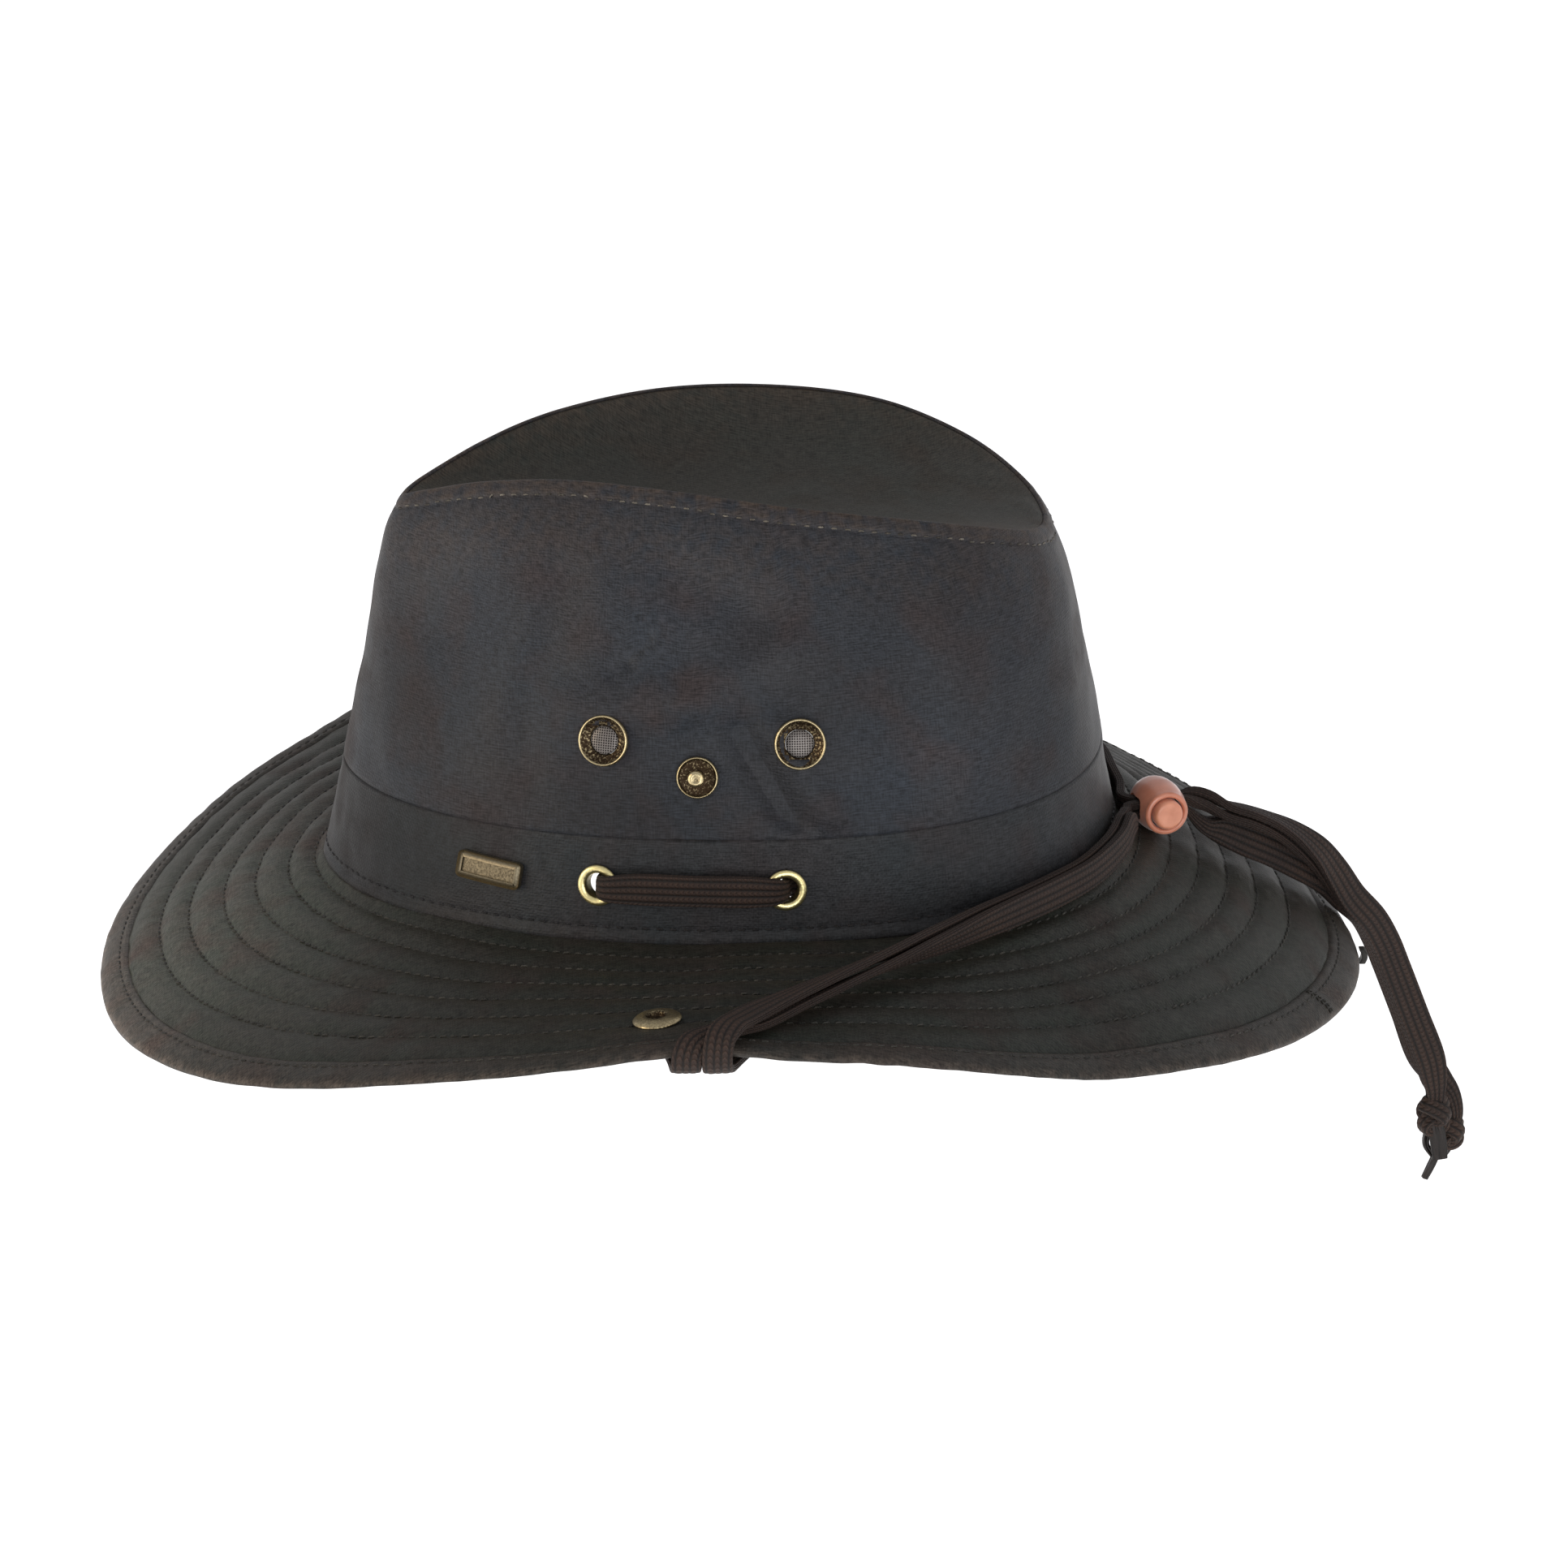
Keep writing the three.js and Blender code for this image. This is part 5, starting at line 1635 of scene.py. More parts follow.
    def _plate(self, brass: Material) -> None:
        """Makes the plain plate on the band, with a raised border."""
        long, _, thick = self.plate_size
        slope_up, flat, slope_down = self.border
        plate = add_box("plain_plate", (0, 0, thick / 2), self.plate_size)
        round_edges(plate, self.plate_corner, 4)
        with editing(plate, "DESELECT"):
            bpy.ops.mesh.select_mode(type="FACE")
        for face in plate.data.polygons:
            face.select = face.normal.z > 0.9
        with editing(plate, None):
            bpy.ops.mesh.inset(thickness=slope_up)
            bpy.ops.transform.translate(value=(0, 0, self.border_rise))
            bpy.ops.mesh.inset(thickness=flat)
            bpy.ops.mesh.inset(thickness=slope_down)
            bpy.ops.transform.translate(value=(0, 0, -self.border_drop))
            for step in range(1, 12):
                bpy.ops.mesh.select_all(action="SELECT")
                bpy.ops.mesh.bisect(plane_co=(long * (step / 12 - 0.5), 0, 0), plane_no=(1, 0, 0))
        field = thick + self.border_rise - self.border_drop
        patina = [0.35 if abs(v.co.z - field) < 0.02 else 0.1 for v in plate.data.vertices]
        plate.data.attributes.new(WEAR, "FLOAT", "POINT").data.foreach_set("value", patina)
        self._bend(plate)
        with editing(plate):
            bpy.ops.mesh.normals_make_consistent(inside=False)
        bpy.ops.object.shade_smooth_by_angle(angle=math.radians(35))
        hand_over(plate, brass, ["badge_plate"])

    def _bend(self, plate: Piece) -> None:
        """Lays the flat plate on the curved band, in metres."""
        first, last = (np.array(settle(FORM.band_wall, x, self.plate_z, Side.NEAR))
                       for x in (self.plate_from, self.plate_to))
        places = np.array([v.co for v in plate.data.vertices])
        share = places[:, 0] / self.plate_size[0] + 0.5
        angle = first[0] + (last[0] - first[0]) * share
        up = first[1] + (last[1] - first[1]) * share + places[:, 1] / BAND_HEIGHT
        off = (places[:, 2:] + self.plate_off) * outward(FORM.band_wall, angle, up)
        bent = (FORM.band_wall(angle, up) + off) * MM
        plate.data.vertices.foreach_set("co", bent.astype(np.float32).ravel())


# The cord lock


@dataclass
class CordLock:
    """The cord lock: a barrel with a spring-loaded plunger, both crossed by the cord's window.

    Args:
        at: The middle of the barrel.
        turn: How far its window turns from the hat's length.
        window: The window's height, and where it starts and ends along the barrel.
        plunger_window: Where the plunger's window starts and ends.
        window_corner: The radius of a window's ends.
        cut: The length of the box that cuts a window, longer than the lock is wide.
    """

    at: Place = (112.6, -7.0, 5.45)
    turn: float = math.radians(15)
    window: Place = (5.8, -4.2, 4.2)
    plunger_window: tuple[float, float] = (-3.3, 5.7)
    window_corner: float = 2.2
    cut: float = 20.0
    barrel: Turned = Turned((
        (0, -8.3, 0), (1.8, -8.2, 0), (3.6, -7.7, 0), (5.3, -6.3, 0), (6.4, -3.6, 0), (6.8, 0, 0),
        (6.45, 3.6, 0), (5.85, 6.3, 0), (5.8, 7.3, 0), (5.2, 7.75, 0), (4.5, 7.65, 0), (4.25, 7.0, 0),
        (4.25, -6.8, 0), (0, -6.8, 0)), 0.9, 64)
    plunger: Turned = Turned((
        (0, -4.3, 0), (3.9, -4.3, 0), (3.9, 8.6, 0), (3.3, 9.35, 0), (1.8, 9.3, 0), (0, 9.15, 0)), 0.4, 56)
    shell: MouldedPlastic = MouldedPlastic("moulded acetal, terracotta", 0.3)
    # The same plastic as the barrel, drawn paler as painted light on the plunger's face.
    plunger_plastic_lit: MouldedPlastic = MouldedPlastic("moulded acetal, plunger", 0.36, body="#e09676", streak="#ca7d5d")

    def build(self) -> None:
        """Makes the barrel and the plunger."""
        frame = (Matrix.Translation(self.at) @ Matrix.Rotation(self.turn, 4, "Z")
                 @ Matrix.Rotation(math.pi / 2, 4, "X"))
        barrel = self.barrel.build("lock_barrel")
        self._cut_window(barrel, *self.window[1:])
        hand_over(put(barrel, frame), self.shell.material(), ["toggle_barrel"])
        plunger = self.plunger.build("lock_plunger")
        self._cut_window(plunger, *self.plunger_window)
        hand_over(put(plunger, frame), self.plunger_plastic_lit.material(), ["toggle_plunger"], "plunger")

    def _cut_window(self, piece: Piece, low: float, high: float) -> None:
        """Cuts a round-ended window across a turned piece."""
        tool = add_box("window_tool", (0, 0, (low + high) / 2), (self.cut, self.window[0], high - low))
        round_edges(tool, self.window_corner, 6, axis=0)
        modifier = piece.modifiers.new("window", "BOOLEAN")
        modifier.operation, modifier.object, modifier.solver = "DIFFERENCE", tool, "EXACT"
        apply_modifiers(piece)
        bpy.data.objects.remove(tool)
        select_only(piece)
        bpy.ops.object.shade_smooth_by_angle(angle=math.radians(40))


# The chin cord


@dataclass(frozen=True)
class Row:
    """A point on a strand's route, shared by strands that lie in layers.

    Args:
        at: The point.
        face: The way that the flat side faces.
        width: The strand's width there.
        thickness: Its thickness there.
        spread: How far one layer lies from the next, where it isn't the usual.
    """

    at: Place
    face: Place
    width: float = 8.0
    thickness: float = 2.0
    spread: float | None = None

    def placed(self, layers: float, layer: float) -> "Stop":
        """Gives the row for one strand, some layers away."""
        return Stop(np.array(self.at), np.array(self.face, float), self.width, self.thickness,
                    layers * (layer if self.spread is None else self.spread))


@dataclass
class Stop:
    """A point on one strand's own route.

    Args:
        at: The shared route's point.
        face: The way that the flat side faces.
        width: The strand's width.
        thickness: Its thickness.
        shift: How far the strand lies from the shared route, along the face.
    """

    at: Points
    face: Points
    width: float
    thickness: float
    shift: float

    def mirrored(self) -> "Stop":
        """Gives the stop on the hat's other side."""
        flip = np.array((1, -1, 1))
        return Stop(self.at * flip, self.face * flip, self.width, self.thickness, self.shift)

    def turned_over(self) -> "Stop":
        """Gives the same stop with its other face named."""
        return Stop(self.at, -self.face, self.width, self.thickness, -self.shift)


LACING = (
    Row((18.8, -76.6, 13.4), (0, 1, 0), width=7.4),
    Row((15.5, -76.6, 13.6), (-0.4, 0.9, 0), width=6.4),
    Row((13.9, -79.4, 14.1), (-0.95, 0.3, 0), width=5.2),
    Row((13.4, -82.2, 14.3), (-1, 0, 0), width=5.2),
    Row((11.4, -84.8, 14.8), (-0.6, 0.8, 0), width=6.6),
    Row((5.0, -85.7, 15.3), (0, 1, 0)),
    Row((-9.0, -84.3, 15.2), (0.15, 0.99, 0)),
    Row((-24.0, -81.6, 14.9), (0.3, 0.95, 0)),
    Row((-31.6, -79.2, 14.2), (0.75, 0.6, 0), width=6.2),
    Row((-32.1, -75.4, 13.7), (0.94, -0.33, 0), width=5.0),
    Row((-31.0, -71.6, 12.6), (0.94, -0.2, 0.1), width=5.2),
    Row((-29.9, -70.3, 8.8), (0.8, 0.5, 0), width=6.0),
)
UNDER_STRAND_BELOW = (
    Row((-28.4, -71.8, 1.5), (0.4, 0.9, 0), width=7.6),
    Row((-26.8, -73.8, -4.2), (0.1, 0.75, -0.6)),
    Row((-25.2, -80.0, -6.2), (0, 0.2, -1)),
    Row((-20.5, -104.0, -5.4), (0, 0, -1)),
    Row((-14.0, -144.0, -3.4), (0, 0, -1)),
    Row((-13.6, -151.4, -2.9), (0, -0.35, -0.9), width=7.4),
    Row((-13.4, -155.0, -0.8), (0, -0.9, -0.4), width=7.4),
    Row((-13.3, -155.4, 1.8), (0, -0.95, 0.3), width=7.4),
    Row((-11.8, -153.4, 4.2), (0.1, -0.4, 0.9), width=7.4),
    Row((-7.2, -148.4, 4.6), (0, 0, 1)),
    Row((-1.2, -142.8, 4.1), (0, 0, 1)),
)
TOP_STRAND_BELOW = (
    Row((20.6, -76.2, 14.3), (0, 1, 0), width=6.0),
    Row((23.6, -75.7, 13.6), (0, 1, 0), width=6.0),
    Row((25.8, -75.3, 11.4), (0, 1, 0), width=6.0),
    Row((26.4, -75.2, 8.2), (0, 1, 0), width=7.0),
    Row((26.0, -75.6, 1.0), (0, 1, 0)),
    Row((24.6, -77.6, -4.0), (0, 0.75, -0.6)),
    Row((22.4, -82.6, -5.8), (0, 0.2, -1)),
    Row((13.4, -105.0, -5.6), (0, 0, -1)),
    Row((-2.6, -143.0, -3.8), (0, 0, -1)),
    Row((-5.4, -151.6, -3.0), (0, -0.35, -0.9), width=7.4),
    Row((-6.0, -155.6, -0.6), (0, -0.9, -0.4), width=7.4),
    Row((-6.0, -156.4, 2.8), (0, -0.95, 0.3), width=7.4),
    Row((-5.2, -154.4, 6.2), (0, -0.5, 0.9), width=7.4),
    Row((-3.0, -150.2, 7.5), (0, 0, 1)),
    Row((0.2, -144.2, 6.8), (0, 0, 1)),
)
ALONG_BRIM = (
    Row((3.8, -139.0, 5.0), (0, 0.05, 1)),
    Row((13.8, -129.0, 5.0), (-0.18, 0.19, 0.97)),
    Row((25.2, -118.8, 5.5), (-0.3, 0.32, 0.9)),
    Row((36.2, -109.4, 6.2), (-0.4, 0.43, 0.81)),
    Row((46.4, -100.2, 6.4), (-0.54, 0.57, 0.62)),
    Row((54.2, -92.6, 6.1), (-0.62, 0.66, 0.42)),
    Row((62.2, -84.6, 5.9), (-0.67, 0.71, 0.2)),
    Row((72.2, -74.8, 5.7), (-0.69, 0.72, 0)),
    Row((82.2, -64.4, 5.8), (-0.7, 0.7, -0.05)),
    Row((90.2, -55.2, 6.2), (-0.77, 0.63, -0.08), width=7.6),
    Row((95.8, -45.9, 6.6), (-0.86, 0.5, -0.08), width=7.6),
    Row((100.1, -35.8, 6.8), (-0.93, 0.35, -0.08), width=7.2),
    Row((103.0, -24.6, 6.8), (-0.98, 0.18, -0.04), width=7.0),
)
UPPER_PAIR = (
    Row((119.3, -5.7, 6.6), (-0.26, 0.97, 0), width=2.1, thickness=2.25, spread=1.45),
    Row((121.9, -5.0, 6.4), (-0.1, 0.87, 0.5), width=2.4, thickness=2.2, spread=1.6),
    Row((125.9, -4.6, 5.0), (0, 0.5, 0.87), width=3.8, spread=1.5),
    Row((130.2, -3.5, 2.1), (0, 0.15, 1), width=5.8, spread=1.3),
    Row((136.8, -1.0, -0.8), (0, 0, 1), width=7.4, spread=1.2),
    Row((143.2, 2.3, -4.6), (0.1, -0.1, 1), thickness=1.9, spread=1.25),
    Row((149.6, 4.8, -9.0), (0.3, -0.3, 0.9), thickness=1.9, spread=1.35),
    Row((155.6, 6.7, -14.2), (0.5, -0.6, 0.6), thickness=1.9, spread=1.35),
    Row((160.6, 9.4, -21.0), (0.5, -0.8, 0.3), thickness=1.9, spread=1.2),
    Row((165.4, 11.8, -28.8), (0.4, -0.9, 0.15), spread=1.1),
)
LOWER_PAIR = (
    Row((119.3, -5.7, 4.0), (-0.26, 0.97, 0), width=2.1, thickness=2.25, spread=1.45),
    Row((121.4, -5.0, 1.9), (-0.2, 0.97, 0), width=2.4, thickness=2.2, spread=1.5),
    Row((125.2, -4.0, -1.9), (-0.1, 0.95, -0.15), width=4.2, spread=1.3),
    Row((128.8, -2.3, -3.8), (0, 0.93, -0.3), width=6.4, spread=1.2),
    Row((136.6, 1.5, -8.7), (0, 0.93, -0.35), spread=1.1),
    Row((143.8, 5.6, -13.4), (0, 0.93, -0.35), spread=1.1),
    Row((152.0, 9.9, -19.3), (-0.05, 0.93, -0.35), spread=1.1),
    Row((159.8, 14.6, -25.7), (-0.15, 0.95, -0.3), spread=1.1),
    Row((165.4, 17.0, -32.0), (-0.25, 0.95, -0.2), spread=1.1),
)
HANGING = (
    Row((170.6, 16.0, -36.3), (0.3, -0.95, 0.12), spread=1.08),
    Row((174.6, 17.0, -43.7), (0.3, -0.95, 0.12), spread=1.08),
    Row((177.4, 17.0, -50.7), (0.3, -0.95, 0.1), spread=1.08),
    Row((182.7, 16.6, -64.6), (0.3, -0.95, 0.1), spread=1.08),
    Row((187.6, 15.8, -77.8), (0.3, -0.95, 0.1), spread=1.08),
)
UPPER_END = (
    Row((189.4, 13.7, -83.0), (0.2, -0.97, 0), width=6.4, spread=1.05),
    Row((189.9, 14.0, -86.0), (0.1, -1, 0), width=5.0, spread=1.0),
    Row((189.8, 14.3, -91.0), (0.1, -1, 0), width=4.0, spread=0.9),
)
LOWER_END = (
    Row((191.4, 18.9, -84.8), (-0.35, 0.93, 0), width=6.6, spread=1.05),
    Row((194.2, 19.5, -89.4), (-0.5, 0.87, 0), width=5.4, spread=1.0),
    Row((195.4, 19.0, -94.2), (-0.5, 0.87, 0), width=4.6, spread=1.0),
    Row((195.0, 18.2, -98.6), (-0.5, 0.87, 0), width=4.0, spread=0.9),
)
INTO_LOCK = {
    (Side.NEAR, True): (
        Row((102.9, -19.6, 8.0), (-0.98, 0.15, 0), width=3.0),
        Row((104.1, -14.8, 6.7), (-1, 0, 0), width=2.3, thickness=2.1),
        Row((104.6, -11.8, 6.6), (-0.9, 0.4, 0), width=2.2, thickness=2.1),
        Row((107.6, -10.3, 6.6), (-0.26, 0.97, 0), width=2.1, thickness=2.3),
    ),
    (Side.NEAR, False): (
        Row((105.5, -20.0, 5.2), (-0.98, 0.15, 0), width=3.0),
        Row((104.6, -14.8, 4.1), (-1, 0, 0), width=2.3, thickness=2.1),
        Row((104.6, -11.8, 4.0), (-0.9, 0.4, 0), width=2.2, thickness=2.1),
        Row((107.6, -10.3, 4.0), (-0.26, 0.97, 0), width=2.1, thickness=2.3),
    ),
    (Side.FAR, True): (
        Row((94.6, 45.2, 8.0), (-0.86, -0.5, -0.08), width=4.4),
        Row((98.8, 35.3, 7.0), (-0.93, -0.35, -0.08), width=3.6),
        Row((101.6, 24.4, 7.0), (-0.98, -0.18, -0.04), width=3.2),
        Row((102.7, 12.0, 7.3), (-1, -0.1, 0), width=2.8),
        Row((103.9, 4.0, 6.7), (-1, 0, 0), width=2.3),
        Row((103.8, -5.0, 6.6), (-1, 0, 0), width=2.2),
        Row((107.2, -7.3, 6.6), (0.26, -0.97, 0), width=2.1, thickness=2.2),
    ),
    (Side.FAR, False): (
        Row((96.4, 46.3, 3.6), (-0.86, -0.5, -0.08), width=4.4),
        Row((99.5, 35.6, 3.4), (-0.93, -0.35, -0.08), width=3.4),
        Row((102.1, 24.5, 3.7), (-0.98, -0.18, -0.04), width=3.0),
        Row((103.2, 12.0, 4.2), (-1, -0.1, 0), width=2.8),
        Row((104.2, 4.0, 4.1), (-1, 0, 0), width=2.3),
        Row((103.8, -5.0, 4.0), (-1, 0, 0), width=2.2),
        Row((107.2, -7.3, 4.0), (0.26, -0.97, 0), width=2.1, thickness=2.2),
    ),
}
FAR_ROWS_OF_THEIR_OWN = 3
CORD_LAYER = 1.4
TAIL_LAYER = 1.15


@dataclass(frozen=True)
class SmoothCurve:
    """A curve through rows of numbers that stays close to them where they lie unevenly.

    Args:
        rows: The rows; their first three numbers are the place.
    """

    rows: Points

    def at(self, place: Points) -> Points:
        """Gives the curve's values at places from 0 to the last row's number."""
        rows = np.concatenate([[2 * self.rows[0] - self.rows[1]], self.rows,
                               [2 * self.rows[-1] - self.rows[-2]]])
        gaps = np.maximum(np.linalg.norm(np.diff(rows[:, :3], axis=0), axis=1) ** 0.5, 1e-3)[:, None]
        number = np.clip(np.floor(place).astype(int), 0, len(self.rows) - 2)
        f = (place - number)[:, None]
        p0, p1, p2, p3 = (rows[number + k] for k in range(4))
        g0, g1, g2 = (gaps[number + k] for k in range(3))
        leave = ((p1 - p0) / g0 - (p2 - p0) / (g0 + g1) + (p2 - p1) / g1) * g1
        arrive = ((p2 - p1) / g1 - (p3 - p1) / (g1 + g2) + (p3 - p2) / g2) * g1
        return (p1 + leave * f + (3 * (p2 - p1) - 2 * leave - arrive) * f ** 2
                + (2 * (p1 - p2) + leave + arrive) * f ** 3)


@dataclass
class Braid:
    """A flat braid along a route.

    Args:
        stops: The stops along its route.
        step: The distance from one section to the next.
        ribs: How many ribs it has all round.
        section: How many points a section has.
        boxy: How square the section is.
        plump: How much thicker it is than its stops say.
        groove: How deep the grooves between its ribs are, as a share of its half thickness.
    """

    stops: Sequence[Stop]
    step: float = 1.2
    ribs: int = 14
    section: int = 56
    boxy: float = 4.5
    plump: float = 1.16
    groove: float = 0.09

    def centres(self) -> tuple[Points, Points, Points, Points]:
        """Gives the strand's own points, faces, widths and thicknesses, evenly spaced."""
        shared_stops = np.array([stop.at for stop in self.stops])
        shared = SmoothCurve(shared_stops)
        places = np.arange(len(self.stops), dtype=float)
        ahead = unit(shared.at(np.minimum(places + 1e-3, places[-1]))
                     - shared.at(np.maximum(places - 1e-3, 0)))
        face = squared(np.array([stop.face for stop in self.stops]), ahead)
        own = shared_stops + face * np.array([[stop.shift] for stop in self.stops])
        sizes = np.array([(stop.width, stop.thickness) for stop in self.stops])
        curve = SmoothCurve(np.concatenate((own, face, sizes), axis=1))
        dense = curve.at(np.linspace(0, places[-1], 4000))
        run = travelled(dense[:, :3])
        where = np.linspace(0, run[-1], int(run[-1] / self.step) + 1)
        made = np.stack([np.interp(where, run, column) for column in dense.T], axis=1)
        return made[:, :3], made[:, 3:6], made[:, 6], made[:, 7]

    def build(self, name: str) -> tuple[Piece, Points]:
        """Makes the braid's mesh.

        Returns:
            The piece and its centreline in millimetres.
        """
        centre, face, width, thickness = self.centres()
        ahead = unit(np.gradient(centre, axis=0))
        face = squared(face, ahead)
        share = np.arange(self.section) / self.section
        across, rise = self._section(share)
        wide = np.cross(ahead, face)
        points = (centre[:, None] + (across[None] * width[:, None])[..., None] * wide[:, None]
                  + (rise[None] * thickness[:, None])[..., None] * face[:, None])
        rows = len(centre)
        i, k = np.meshgrid(np.arange(rows - 1), np.arange(self.section), indexing="ij")
        after = (k + 1) % self.section
        faces = np.stack([i * self.section + k, i * self.section + after,
                          (i + 1) * self.section + after, (i + 1) * self.section + k], axis=-1).reshape(-1, 4)
        v = share * self.ribs
        v_after = np.append(v[1:], self.ribs)
        step = travelled(centre)[-1] / (rows - 1)
        low, high = i * step, (i + 1) * step
        places = np.stack([np.stack((low, v[k]), -1), np.stack((low, v_after[k]), -1),
                           np.stack((high, v_after[k]), -1), np.stack((high, v[k]), -1)], axis=2)
        end_places = np.stack((np.zeros(self.section), v), -1)
        ends = [[row * self.section + n for n in range(self.section)] for row in (0, rows - 1)]
        piece = make_piece(name, points.reshape(-1, 3), faces.tolist() + ends,
                           np.concatenate((places.reshape(-1, 2), end_places, end_places)))
        return piece, centre

    def _section(self, share: Points) -> tuple[Points, Points]:
        """Gives a ribbed section's places across and up, as shares of the width and thickness."""
        around = TURN * share
        box = np.stack((np.cos(around), np.sin(around)), axis=1)
        box /= (np.abs(box[:, :1]) ** self.boxy + np.abs(box[:, 1:]) ** self.boxy) ** (1 / self.boxy)
        ribbed = 1 - self.groove * (1 - np.abs(np.sin(math.pi * self.ribs * share)) ** 0.7)
        return box[:, 0] * 0.5 * (1 - 0.25 * (1 - ribbed)), box[:, 1] * 0.5 * ribbed * self.plump


@dataclass(frozen=True)
class Knot:
    """A trefoil knot of the cord's braid.

    Args:
        word: Which knot it is, in its node's name.
        at: Its middle.
        size: Its half length, half width and half height.
        inset: How far the braid's middle lies inside them.
        tilt: What keeps the braid's face from pointing along it.
        width: The braid's width in the knot.
        thickness: Its thickness there.
    """

    word: str
    at: Place
    size: Place
    inset: Place = (0.9, 1.1, 1.1)
    tilt: Place = (0.05, 0.02, 0.01)
    width: float = 4.6
    thickness: float = 2.3

    def build(self) -> Piece:
        """Makes the knot."""
        turn = np.linspace(0, TURN, 41)
        loop = np.stack((-np.sin(3 * turn), (np.sin(turn) + 2 * np.sin(2 * turn)) / 3,
                         (np.cos(turn) - 2 * np.cos(2 * turn)) / 3), axis=1)
        places = loop * (np.array(self.size) - np.array(self.inset)) + np.array(self.at)
        stops = [Stop(place, way + np.array(self.tilt), self.width, self.thickness, 0.0)
                 for place, way in zip(places, loop)]
        return Braid(stops, 0.6, 8, 32).build(f"knot_{self.word}_braid")[0]


@dataclass(frozen=True)
class LooseEnd:
    """A free end of the cord, or a strand drawn out of it.

    Args:
        name: Its name.
        ribs: How many ribs it has all round.
        face: The way that its flat side faces.
        rows: The places along it, each with its width and thickness.
    """

    name: str
    ribs: int
    face: Place
    rows: tuple[tuple[Place, float, float], ...]

    def build(self) -> Piece:
        """Makes the end."""
        stops = [Stop(np.array(at), np.array(self.face), wide, thick, 0.0) for at, wide, thick in self.rows]
        return Braid(stops, 0.7, self.ribs, 4 * self.ribs).build(self.name)[0]


@dataclass
class ChinCord:
    """The chin cord: a flat braid on each side, laced through two grommets. Each is two strands that run
    under the brim, over its edge, round the back through the lock and down to the knots.

    Args:
        width: The braid's width; not used.
        knots: The two knots.
        ends: The free ends below them.
    """

    width: float = 8.0
    braid: FlatBraid = FlatBraid("braided polyester cord", 0.72)
    knot_braid: FlatBraid = FlatBraid("braided polyester cord, knotted", 0.7, yarn="#433229")
    # Its grooves too are drawn dark as painted shade.
    dark_braid: FlatBraid = FlatBraid("braided polyester cord, sealed end", 0.36, yarn="#1d1816",
                                      groove="#15110f", plait=9.0)
    knots: tuple[Knot, ...] = (
        Knot("inner", (189.8, 14.4, -93.0), (3.6, 4.0, 6.0)),
        Knot("outer", (194.8, 18.0, -99.6), (2.9, 3.8, 5.0)))
    ends: tuple[LooseEnd, ...] = (
        LooseEnd("cord_end_flat", 8, (0.1, -1.0, 0.0), (
            ((190.0, 13.2, -95.0), 3.8, 2.0), ((190.7, 12.9, -98.4), 4.4, 1.7),
            ((191.2, 12.7, -102.0), 4.4, 1.2), ((191.6, 12.5, -105.4), 4.0, 0.9))),
        LooseEnd("cord_end_thin", 4, (0.3, -1.0, 0.0), (
            ((190.2, 15.4, -96.0), 2.2, 1.9), ((191.0, 15.3, -101.0), 2.0, 1.8),
            ((190.6, 15.2, -105.6), 1.9, 1.7), ((189.2, 15.1, -109.2), 1.9, 1.6),
            ((187.9, 15.0, -112.0), 1.7, 1.4))),
        LooseEnd("cord_end_loop", 4, (0.2, -1.0, 0.0), (
            ((189.4, 15.8, -97.0), 1.8, 1.6), ((188.2, 15.9, -100.0), 1.8, 1.5),
            ((188.2, 15.9, -102.8), 1.8, 1.5), ((189.9, 15.8, -105.6), 1.6, 1.3))),
        LooseEnd("cord_end_short", 6, (0.3, -1.0, 0.0), (
            ((194.8, 17.0, -101.0), 3.0, 1.8), ((193.6, 16.6, -104.0), 3.0, 1.5),
            ((192.6, 16.4, -106.0), 2.4, 1.2))),
    )

    def build(self) -> None:
        """Makes the four strands, the knots and the free ends."""
        material = self.braid.material()
        for side in Side:
            for is_top in (True, False):
                self._strand(side, is_top, material)
        knotted = self.knot_braid.material()
        for knot in self.knots:
            hand_over(knot.build(), knotted, [f"knot_{knot.word}"])
        sealed = self.dark_braid.material()
        for end in self.ends:
            hand_over(end.build(), sealed)

    def _strand(self, side: Side, is_top: bool, material: Material) -> None:
        """Makes one strand."""
        word = "top" if is_top else "under"
        stops = self._route(side, is_top)
        piece, centre = Braid(stops).build(f"braid_{side.word}_{word}")
        hand_over(piece, material, [f"cord_{side.word}_{word}"])
        length = float(travelled(centre)[-1])
        LOG.info("%s is %.0f mm long", piece.name, length)
        path = [tuple(float(v) for v in point) for point in centre[::3] * MM]

    @staticmethod
    def _route(side: Side, is_top: bool) -> list[Stop]:
        """Gives a strand's stops."""
        below = TOP_STRAND_BELOW if is_top else LACING + UNDER_STRAND_BELOW
        first = [row.placed(0, 0) for row in below]
        shared = ALONG_BRIM[:-FAR_ROWS_OF_THEIR_OWN] if side is Side.FAR else ALONG_BRIM
        first += [row.placed(1 if is_top else -1, CORD_LAYER) for row in shared]
        if side is Side.FAR:
            first = [stop.mirrored() for stop in first]
        into = [row.placed(0, 0) for row in INTO_LOCK[side, is_top]]
        tail = [row.placed(side.value, TAIL_LAYER) for row in (UPPER_PAIR if is_top else LOWER_PAIR)]
        if is_top:
            tail += [row.placed(side.value + 2, TAIL_LAYER) for row in HANGING]
        else:
            tail += [row.placed(-side.value - 2, TAIL_LAYER).turned_over() for row in HANGING]
        tail += [row.placed(side.value, TAIL_LAYER) for row in (UPPER_END if is_top else LOWER_END)]
        if side is Side.FAR:
            tail = [stop.turned_over() for stop in tail]
        return first + into + tail

# The studio


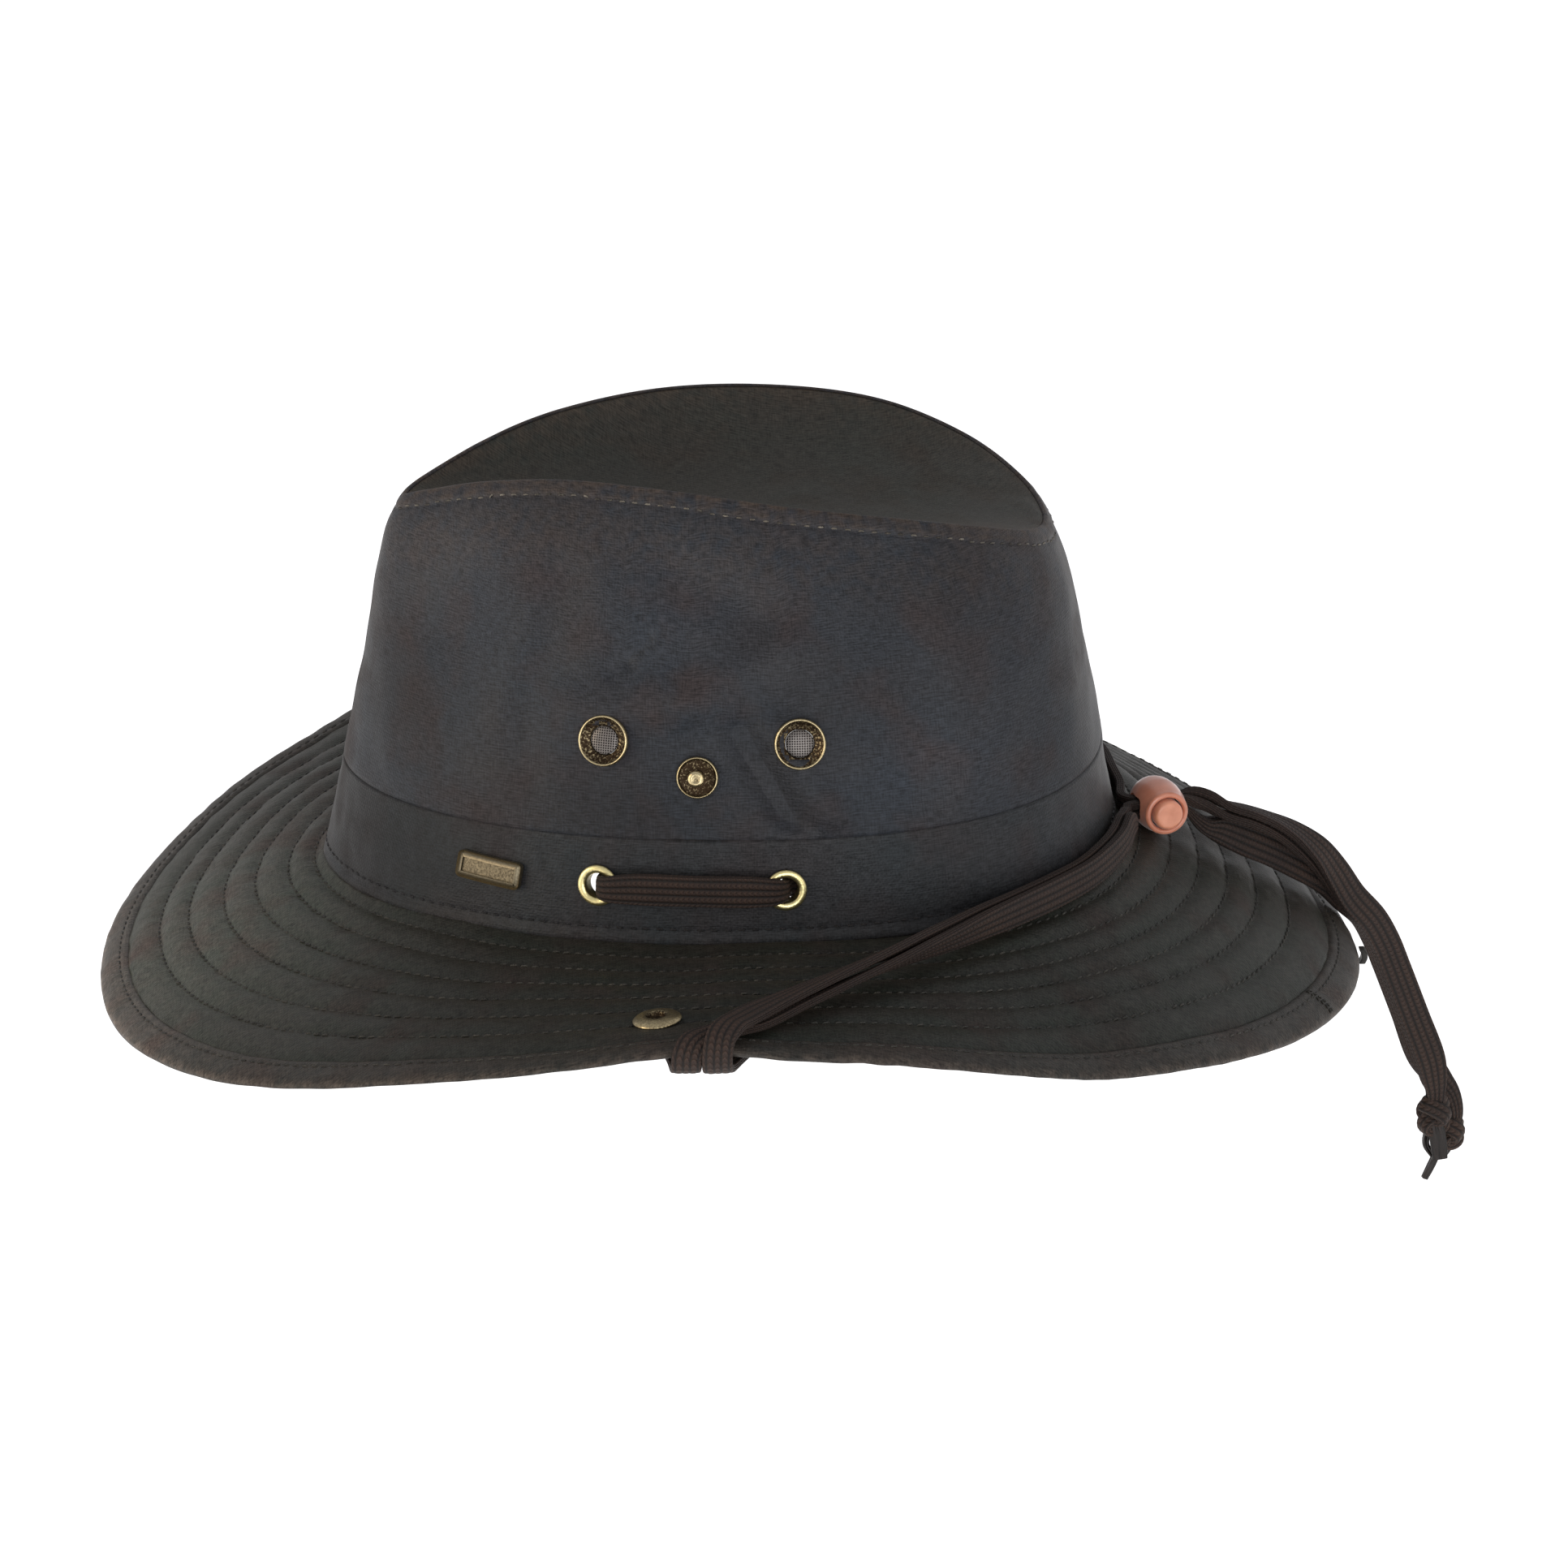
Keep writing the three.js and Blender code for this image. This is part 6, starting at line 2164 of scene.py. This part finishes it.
@dataclass(frozen=True)
class Lamp:
    """A square softbox.

    Args:
        title: Its name.
        at: Where it stands, in metres.
        size: Its side in metres.
        power: Its power in watts.
        colour: Its light's colour.
        aim: The point that it faces, in metres.
    """

    title: str
    at: Place
    size: float
    power: float
    colour: str = "#ffffff"
    aim: Place = (0.0, 0.0, 0.02)

    def build(self) -> None:
        """Makes the lamp, aimed at the hat."""
        light = bpy.data.lights.new(self.title, "AREA")
        light.energy, light.size = self.power, self.size
        light.color = linear(self.colour)[:3]
        lamp = bpy.data.objects.new(self.title, light)
        bpy.context.scene.collection.objects.link(lamp)
        lamp.location = self.at
        lamp.rotation_euler = (Vector(self.aim) - lamp.location).to_track_quat("-Z", "Y").to_euler()


@dataclass
class Studio:
    """The plain white floor, the soft lights and the camera at the photograph's angle.

    Args:
        azimuth: How far the camera turns from the hat's left side.
        elevation: How high it looks from.
        distance: Its distance from the hat's origin.
        aim: The point that it looks at, in millimetres.
        lens: Its focal length in millimetres.
        sensor: The width of its sensor.
        floor_z: The floor's height in metres.
        floor_radius: The floor's radius in metres.
        world: The colour of the light from all round.
        world_strength: Its strength.
        lamps: The softboxes.
    """

    azimuth: float = math.radians(-2)
    elevation: float = math.radians(22)
    distance: float = 2000.0
    aim: Place = (16.9, 2.9, 8.6)
    lens: float = 178.08
    sensor: float = 36.0
    floor_z: float = -0.3
    floor_radius: float = 8.0
    world: str = "#eeeff4"
    world_strength: float = 0.6
    lamps: tuple[Lamp, ...] = (
        Lamp("front_softbox", (-1.8, -0.7, 0.5), 1.0, 13.4, "#ffebcf"),
        Lamp("side_softbox", (0.2, -2.1, 0.3), 1.0, 11.0),
        Lamp("back_softbox", (1.4, -1.5, 0.8), 1.0, 5.0, "#fff6ea"),
        Lamp("rim_softbox", (1.5, 1.2, 1.0), 1.0, 2.0),
    )

    def build(self) -> None:
        """Makes the floor, the lights, the world and the camera."""
        bpy.ops.object.select_all(action="DESELECT")
        bpy.ops.mesh.primitive_circle_add(vertices=96, radius=self.floor_radius, fill_type="NGON",
                                          location=(0, 0, self.floor_z))
        floor = bpy.context.object
        floor.name = floor.data.name = "floor"
        floor.data.materials.append(PaleFloor("white paper", 0.95).material())
        for lamp in self.lamps:
            lamp.build()
        world = bpy.data.worlds.new("soft studio light")
        world.use_nodes = True
        sky = world.node_tree.nodes["Background"]
        sky.inputs["Color"].default_value = linear(self.world)
        sky.inputs["Strength"].default_value = self.world_strength
        bpy.context.scene.world = world
        bpy.context.scene.view_settings.view_transform = "Standard"
        self._camera()

    def _camera(self) -> None:
        """Makes the camera."""
        lens = bpy.data.cameras.new("photo_camera")
        lens.lens, lens.sensor_width, lens.clip_end = self.lens, self.sensor, 50.0
        camera = bpy.data.objects.new("photo_camera", lens)
        bpy.context.scene.collection.objects.link(camera)
        out = Vector((math.sin(self.azimuth) * math.cos(self.elevation),
                      -math.cos(self.azimuth) * math.cos(self.elevation), math.sin(self.elevation)))
        camera.location = out * self.distance * MM
        camera.rotation_euler = (Vector(self.aim) * MM - camera.location).to_track_quat("-Z", "Y").to_euler()
        bpy.context.scene.camera = camera


def main() -> None:
    """Builds the hat's pieces in order."""
    logging.basicConfig(level=logging.INFO, format="%(message)s")
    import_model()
    Studio().build()
    for part in (ChinCord(), Crown(), Brim(), Fittings(), CordLock()):
        part.build()
    bpy.context.view_layer.update()


if __name__ == "__main__":
    main()
